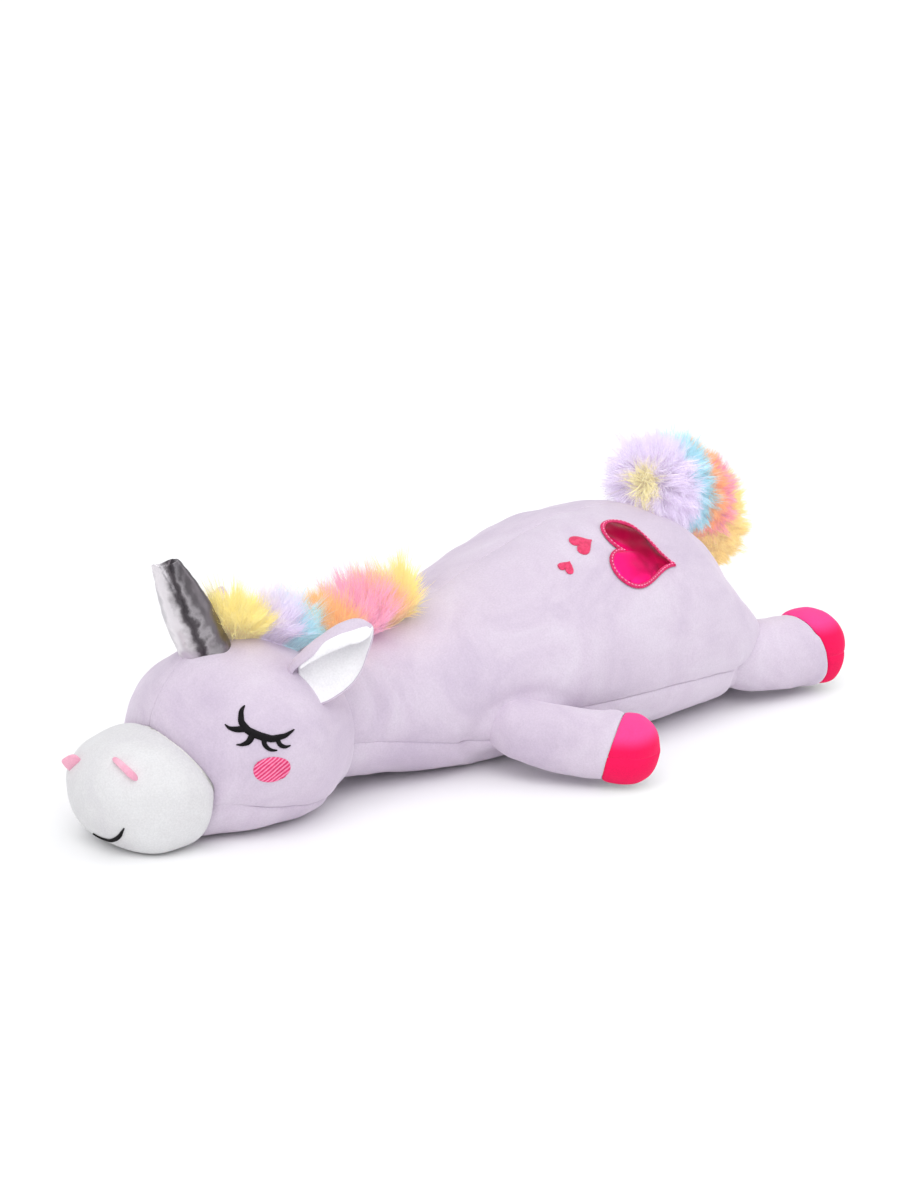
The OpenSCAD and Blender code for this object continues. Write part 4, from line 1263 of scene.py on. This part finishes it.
def strands(name, roots, dirs, lens, width, u, mat, seed, spread):
    """Fur as thin strands of three sides and four rings, whose tips lean together in clumps."""
    r = np.random.default_rng(seed)
    n, sides = len(roots), 3
    tips = roots + dirs * lens[:, None]
    centres = r.choice(n, max(int(n / 22), 4), replace=False)
    tree = KDTree(len(centres))
    for i, c in enumerate(centres):
        tree.insert(tips[c], i)
    tree.balance()
    who = np.array([tree.find(t)[1] for t in tips])
    target = tips[centres[who]] + r.normal(0, 0.6, (len(centres), 3))[who]
    lean = r.normal(0, spread, (len(centres), 3))[who] + r.normal(0, spread * 0.55, (n, 3))
    taper = np.array([1.0, 0.95, 0.72, 0.1])
    up_strand = np.linspace(0, 1, len(taper))
    t = up_strand[None, :, None]
    P = roots[:, None] + dirs[:, None] * lens[:, None, None] * t
    P = P + (target - tips)[:, None] * (CLUMPING * t**1.6) + lean[:, None] * lens[:, None, None] * t**1.8
    # Strands stay above the floor, and no higher than the pile is trimmed
    P[..., 2] = np.clip(P[..., 2], 1.0, TRIM)
    d = unit(np.gradient(P, axis=1))
    s = unit(np.cross(d, unit(r.normal(size=(n, 1, 3)))))
    rad = (width * r.uniform(0.7, 1.25, n))[:, None] * taper[None]
    ob = tube_mesh(name, P, s, np.cross(s, d), rad, mat, sides)
    u = np.clip(u + r.normal(0, 0.012, n), 0.002, 0.998)
    # Each strand and each clump sits a little higher or lower on the painted root shade and tip light
    shift = r.uniform(-0.16, 0.08, n)
    scale = r.uniform(0.72, 1.08, len(centres))[who]
    v = np.clip(up_strand[None] * scale[:, None] + shift[:, None], 0.01, 0.99)
    set_strip_uv(ob.data, np.repeat(u, len(taper) * sides), np.repeat(v.reshape(-1), sides))
    return ob


def backing(node, ob, body, strip_place):
    """Backing cloth in the fur's own colours, under the painted shade of the strands' roots; strip_place
    gives u for points in millimetres.
    """
    co = np.empty(len(ob.data.vertices) * 3)
    ob.data.vertices.foreach_get("co", co)
    u = strip_place(co.reshape(-1, 3) / MM)
    set_strip_uv(ob.data, u, np.full(len(u), 0.12))
    finish_piece(ob, node, body)


def mane(node, form, x0, x1, n, mat, body, seed, height):
    """Upright strip of fur along the top of a form, from x0 to x1, in two pieces."""
    r = np.random.default_rng(seed)
    t = r.uniform(0, 1, n)
    x = x0 + (x1 - x0) * t

    def rounded(t):
        """Share of the strip's half width, rounded off at both ends."""
        return np.sqrt(np.clip(1 - np.abs(2 * t - 1) ** 5, 0.05, 1))

    y = r.uniform(-1, 1, n) * (MANE_HALF * rounded(t))
    s = form.at_x(x)
    a = np.degrees(np.arcsin(np.clip(-y / form.f(s)[:, 1], -1, 1)))
    P = form.pt(s, a)
    N = form.normal(s, a)
    side = np.stack([0 * y, np.sign(y) * (np.abs(y) / MANE_HALF) ** 1.2, 0 * y], -1)
    fore = np.stack([(2 * t - 1) ** 3 * 0.42, 0 * t, 0 * t], -1)
    D = unit(N + side * 0.62 + fore + r.normal(0, 0.13, (n, 3)))
    edge = 1 - 0.25 * (np.abs(y) / MANE_HALF) ** 2
    L = height * edge * r.uniform(0.78, 1.08, n) * (1 + 0.1 * np.sin(x / 6.1) + 0.06 * np.sin(x / 2.3 + 1))
    stray = r.uniform(size=n) < 0.006
    L = np.where(stray, L * r.uniform(1.15, 1.4, n), L)
    who = r.integers(0, 2, n)
    for k in range(2):
        m = who == k
        name = f"{node}_fur_{k + 1}"
        ob = strands(name, P[m] - N[m] * 0.6, D[m], L[m], 0.24, t[m], mat, seed + k, 0.16)
        finish_piece(ob, node, body)
    # Woven backing strip of the fur
    tt = np.linspace(0, 1, 40)
    hw = (MANE_HALF + 1) * rounded(tt)
    v = np.linspace(-1, 1, 13)
    S = form.at_x(np.broadcast_to((x0 + (x1 - x0) * tt)[:, None], (40, 13)))
    A = np.degrees(np.arcsin(np.clip(-(hw[:, None] * v[None]) / form.f(S)[..., 1], -1, 1)))
    back = wall(f"{node}_backing", form.pt(S, A, 0.9), mat, thick=1.2, sub=0)
    backing(node, back, body, lambda q: np.clip((q[:, 0] - SHIFT - x0) / (x1 - x0), 0.01, 0.99))


mane("mane_front", HEAD_FORM, -181.0, -127.0, 8600, MANE_FRONT_FUR, "head", 101, 29)
mane("mane_rear", BODY_FORM, -106.0, -40.0, 10600, MANE_REAR_FUR, "torso", 121, 31)

# The tail's middle line from its root to its tip: x, height, radius of the stuffed core
TAIL = np.array([
    [229.8, 88.6, 7.5], [234, 94, 11.0], [237.5, 101.5, 13.0], [238.5, 110, 14.0], [236, 119.5, 14.5],
    [229.5, 128.3, 15.0], [220.5, 135.6, 15.0], [209, 141.6, 15.0], [196, 145.6, 15.0], [185, 147.6, 14.0],
    [176, 148.6, 11.0], [170.5, 148.9, 6.5], [168.3, 148.9, 0.8],
])
TAIL_ALONG = lengths(TAIL[:, :2])
TAIL_LENGTH = TAIL_ALONG[-1]
TAIL_LINE = pchip(TAIL_ALONG, TAIL)


def tail_step(s):
    """The line just before and just after a place, half a millimetre either way."""
    return TAIL_LINE(np.maximum(s - 0.5, 0)), TAIL_LINE(np.minimum(s + 0.5, TAIL_LENGTH))


def tail_ring(s, th):
    """Points of the middle line, the way along it, the way out from it at angle th, and the core's radius."""
    c = TAIL_LINE(s)
    before, after = tail_step(s)
    d = unit(after[:, :2] - before[:, :2])
    T = np.stack([d[:, 0], 0 * s, d[:, 1]], -1)
    U = np.stack([-d[:, 1], 0 * s, d[:, 0]], -1)
    Y = np.array([0, 1.0, 0])
    if np.ndim(th) == 2:
        R = U[:, None] * np.cos(th)[..., None] + Y * np.sin(th)[..., None]
    else:
        R = U * np.cos(th)[:, None] + Y * np.sin(th)[:, None]
    return np.stack([c[:, 0] + SHIFT, 0 * s, c[:, 1]], -1), T, R, c[:, 2]


def tail_fur():
    r = np.random.default_rng(211)
    total, n = TAIL_LENGTH, 30000
    # Even cover: more strands where the core is thick
    s = r.uniform(0, total, 3 * n)
    s = s[r.uniform(size=3 * n) < (TAIL_LINE(s)[:, 2] + 1.5) / 16.5][:n]
    n = len(s)
    C, T, R, radius = tail_ring(s, r.uniform(0, 2 * math.pi, n))
    before, after = tail_step(s)
    N = unit(R - T * (after[:, 2] - before[:, 2])[:, None])
    P = C + R * radius[:, None]
    D = unit(N + T * 0.12 + r.normal(0, 0.13, (n, 3)))
    L = (14.5 + 6.5 * smooth(total - 60, total - 18, s)) * r.uniform(0.78, 1.1, n)
    L = L * (0.8 + 0.2 * smooth(0, 20, s)) * (1 + 0.10 * waves(P, 14, 5))
    stray = r.uniform(size=n) < 0.004
    L = np.where(stray, L * r.uniform(1.15, 1.35, n), L)
    # No strand stands higher than the trimmed pile
    L = np.minimum(L, np.where(D[:, 2] > 0.2, (TAIL_TRIM - P[:, 2]) / np.maximum(D[:, 2], 0.2), 40))
    # The bands lean towards the tip on the side that faces up and to the left
    tilt = np.maximum(R @ np.array([0.659, -0.389, 0.529]), -0.7)
    u = 1 - s / total + tilt * 23 / total * smooth(0, 12, s) * smooth(total, total - 30, s)
    # Yellow heart of the pompon where the strands part at its tip
    heart = np.array([176 + SHIFT, 0, 148.6]) + 13 * unit([-0.64, -0.71, 0.28])
    off = np.linalg.norm((P - heart) * [1, 1, 0.62], axis=1)
    u = np.where(off < 8.2 + r.normal(0, 0.8, n), 0.02, np.clip(u, 0.13, 0.99))
    who = r.integers(0, 4, n)
    for k in range(4):
        m = who == k
        name = f"tail_fur_{k + 1}"
        ob = strands(name, P[m] - N[m] * 0.5, D[m], L[m], 0.26, u[m], TAIL_FUR, 301 + k, 0.15)
        finish_piece(ob, "tail_cover", "tail")


def tail_backing():
    t = np.linspace(0, TAIL_LENGTH, 70)
    a = np.linspace(0, 2 * math.pi, 37)[:-1]
    C, _, R, radius = tail_ring(t, a[None])
    back = skin("tail_backing", C[:, None] + radius[:, None, None] * R, TAIL_FUR, caps=(True, True), sub=0)

    def place(q):
        k = np.array([np.argmin(((C - p) ** 2).sum(1)) for p in q])
        return np.clip(1 - t[k] / TAIL_LENGTH, 0.01, 0.99)

    backing("tail_cover", back, "tail", place)


tail_fur()
tail_backing()


# ---------------------------------------------------------------- fillings
def stuffing(node, P, body):
    """Polyester fibre behind a cover: the same form a little smaller, with soft lumps."""
    P = P + outward(P, True) * (0.35 * waves(P, 9, 71))[..., None]
    ob = skin(node + "_fibre", P, FIBRE, caps=(True, True), sub=0)
    finish_piece(ob, node, body)


def inside(form, s, depth):
    """Rings of a form, drawn in by a depth in millimetres."""
    return form.pt(np.asarray(s)[:, None], around(72)[None], -depth)


def leg_stuffing(key, pt, length):
    start = 28.5 if "front" in key else 36
    q = np.concatenate([np.linspace(start, length - 8, 12), [length - 5, length - 3.4]])
    G = pt(q[:, None], around(48)[None])
    c = G.mean(1, keepdims=True)
    r = np.linalg.norm(G - c, axis=-1, keepdims=True)
    stuffing(key + "_filling", c + (G - c) * np.maximum(1 - 3.2 / r, 0.05), key)


body_rows = (
    -128, -118, -104, -88, -70, -50, -28, -5, 20, 45, 70, 95, 120, 145, 168, 188, 205, 218, 228, 236, 242,
)
head_rows = (-239.5, -236, -231, -222, -210, -196, -182, -168, -156, -146, -139)
muzzle_rows = np.linspace(7, MUZZLE_FORM.end - 1.5, 12)
stuffing("body_filling", inside(BODY_FORM, [BODY_FORM.at_x(x) for x in body_rows], 3.6), "torso")
stuffing("head_filling", np.concatenate([
    inside(MUZZLE_FORM, muzzle_rows, 4.6),
    inside(HEAD_FORM, [HEAD_FORM.at_x(x) for x in head_rows], 4.8),
]), "head")
for key, (pt, length) in LEGS.items():
    leg_stuffing(key, pt, length)
for node, mat in (("horn_filling", FIBRE), ("tail_filling", FIBRE), ("belly_closing_seam", SEAM_THREAD)):
    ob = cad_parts[node]
    ob.data.materials.clear()
    ob.data.materials.append(mat)


# ---------------------------------------------------------------- studio
def floor_material():
    mat = material("floor")
    surface(mat, {"Base Color": (0.95, 0.95, 0.95, 1), "Roughness": 0.9})
    return mat


def floor():
    """Square floor just below the toy, 80 m wide."""
    half, z = 40, -0.0004
    corners = [(-half, -half, z), (half, -half, z), (half, half, z), (-half, half, z)]
    new_object("floor", corners, [(0, 1, 2, 3)], floor_material())


def light(name, kind, power, way, **settings):
    """A lamp that shines against a direction."""
    data = bpy.data.lights.new(name, kind)
    data.energy = power
    for key, value in settings.items():
        setattr(data, key, value)
    ob = link(name, data)
    ob.rotation_mode = "QUATERNION"
    ob.rotation_quaternion = Vector(way).to_track_quat("Z", "Y")
    return ob


def lamps():
    light("key", "SUN", 1.3, (-0.75, -0.62, 1.1), angle=math.radians(60))
    light("top", "SUN", 0.8, (0.3, 0.0, 1.3), angle=math.radians(85))
    at, target = Vector((1.6, -1.5, 0.9)), Vector((0, 0, 0.05))
    colour = (0.97, 0.98, 1.0)
    side = light("side", "AREA", 5, at - target, shape="RECTANGLE", size=1.4, size_y=1.2, color=colour)
    side.location = at


def surroundings():
    world = bpy.data.worlds.new("studio")
    world.use_nodes = True
    sky = world.node_tree.nodes["Background"].inputs
    sky["Color"].default_value = (0.96, 0.97, 1.0, 1)
    sky["Strength"].default_value = 0.6
    bpy.context.scene.world = world
    bpy.context.scene.view_settings.view_transform = "Standard"


def camera():
    """From the toy's front left, a little above, with a long lens."""
    turn, height, distance = math.radians(-42), math.radians(16), 2.0
    flat = math.cos(height)
    back = Vector((math.sin(turn) * flat, -math.cos(turn) * flat, math.sin(height)))
    cam = bpy.data.cameras.new("camera")
    cam.sensor_width = 36
    cam.lens = 93.75
    cam.clip_start, cam.clip_end = 0.05, 50
    ob = link("camera", cam)
    ob.location = Vector((SHIFT * MM, 0, 0.1)) + back * distance
    ob.rotation_mode = "QUATERNION"
    ob.rotation_quaternion = (-back).to_track_quat("-Z", "Y")
    bpy.context.scene.camera = ob


floor()
lamps()
surroundings()
camera()
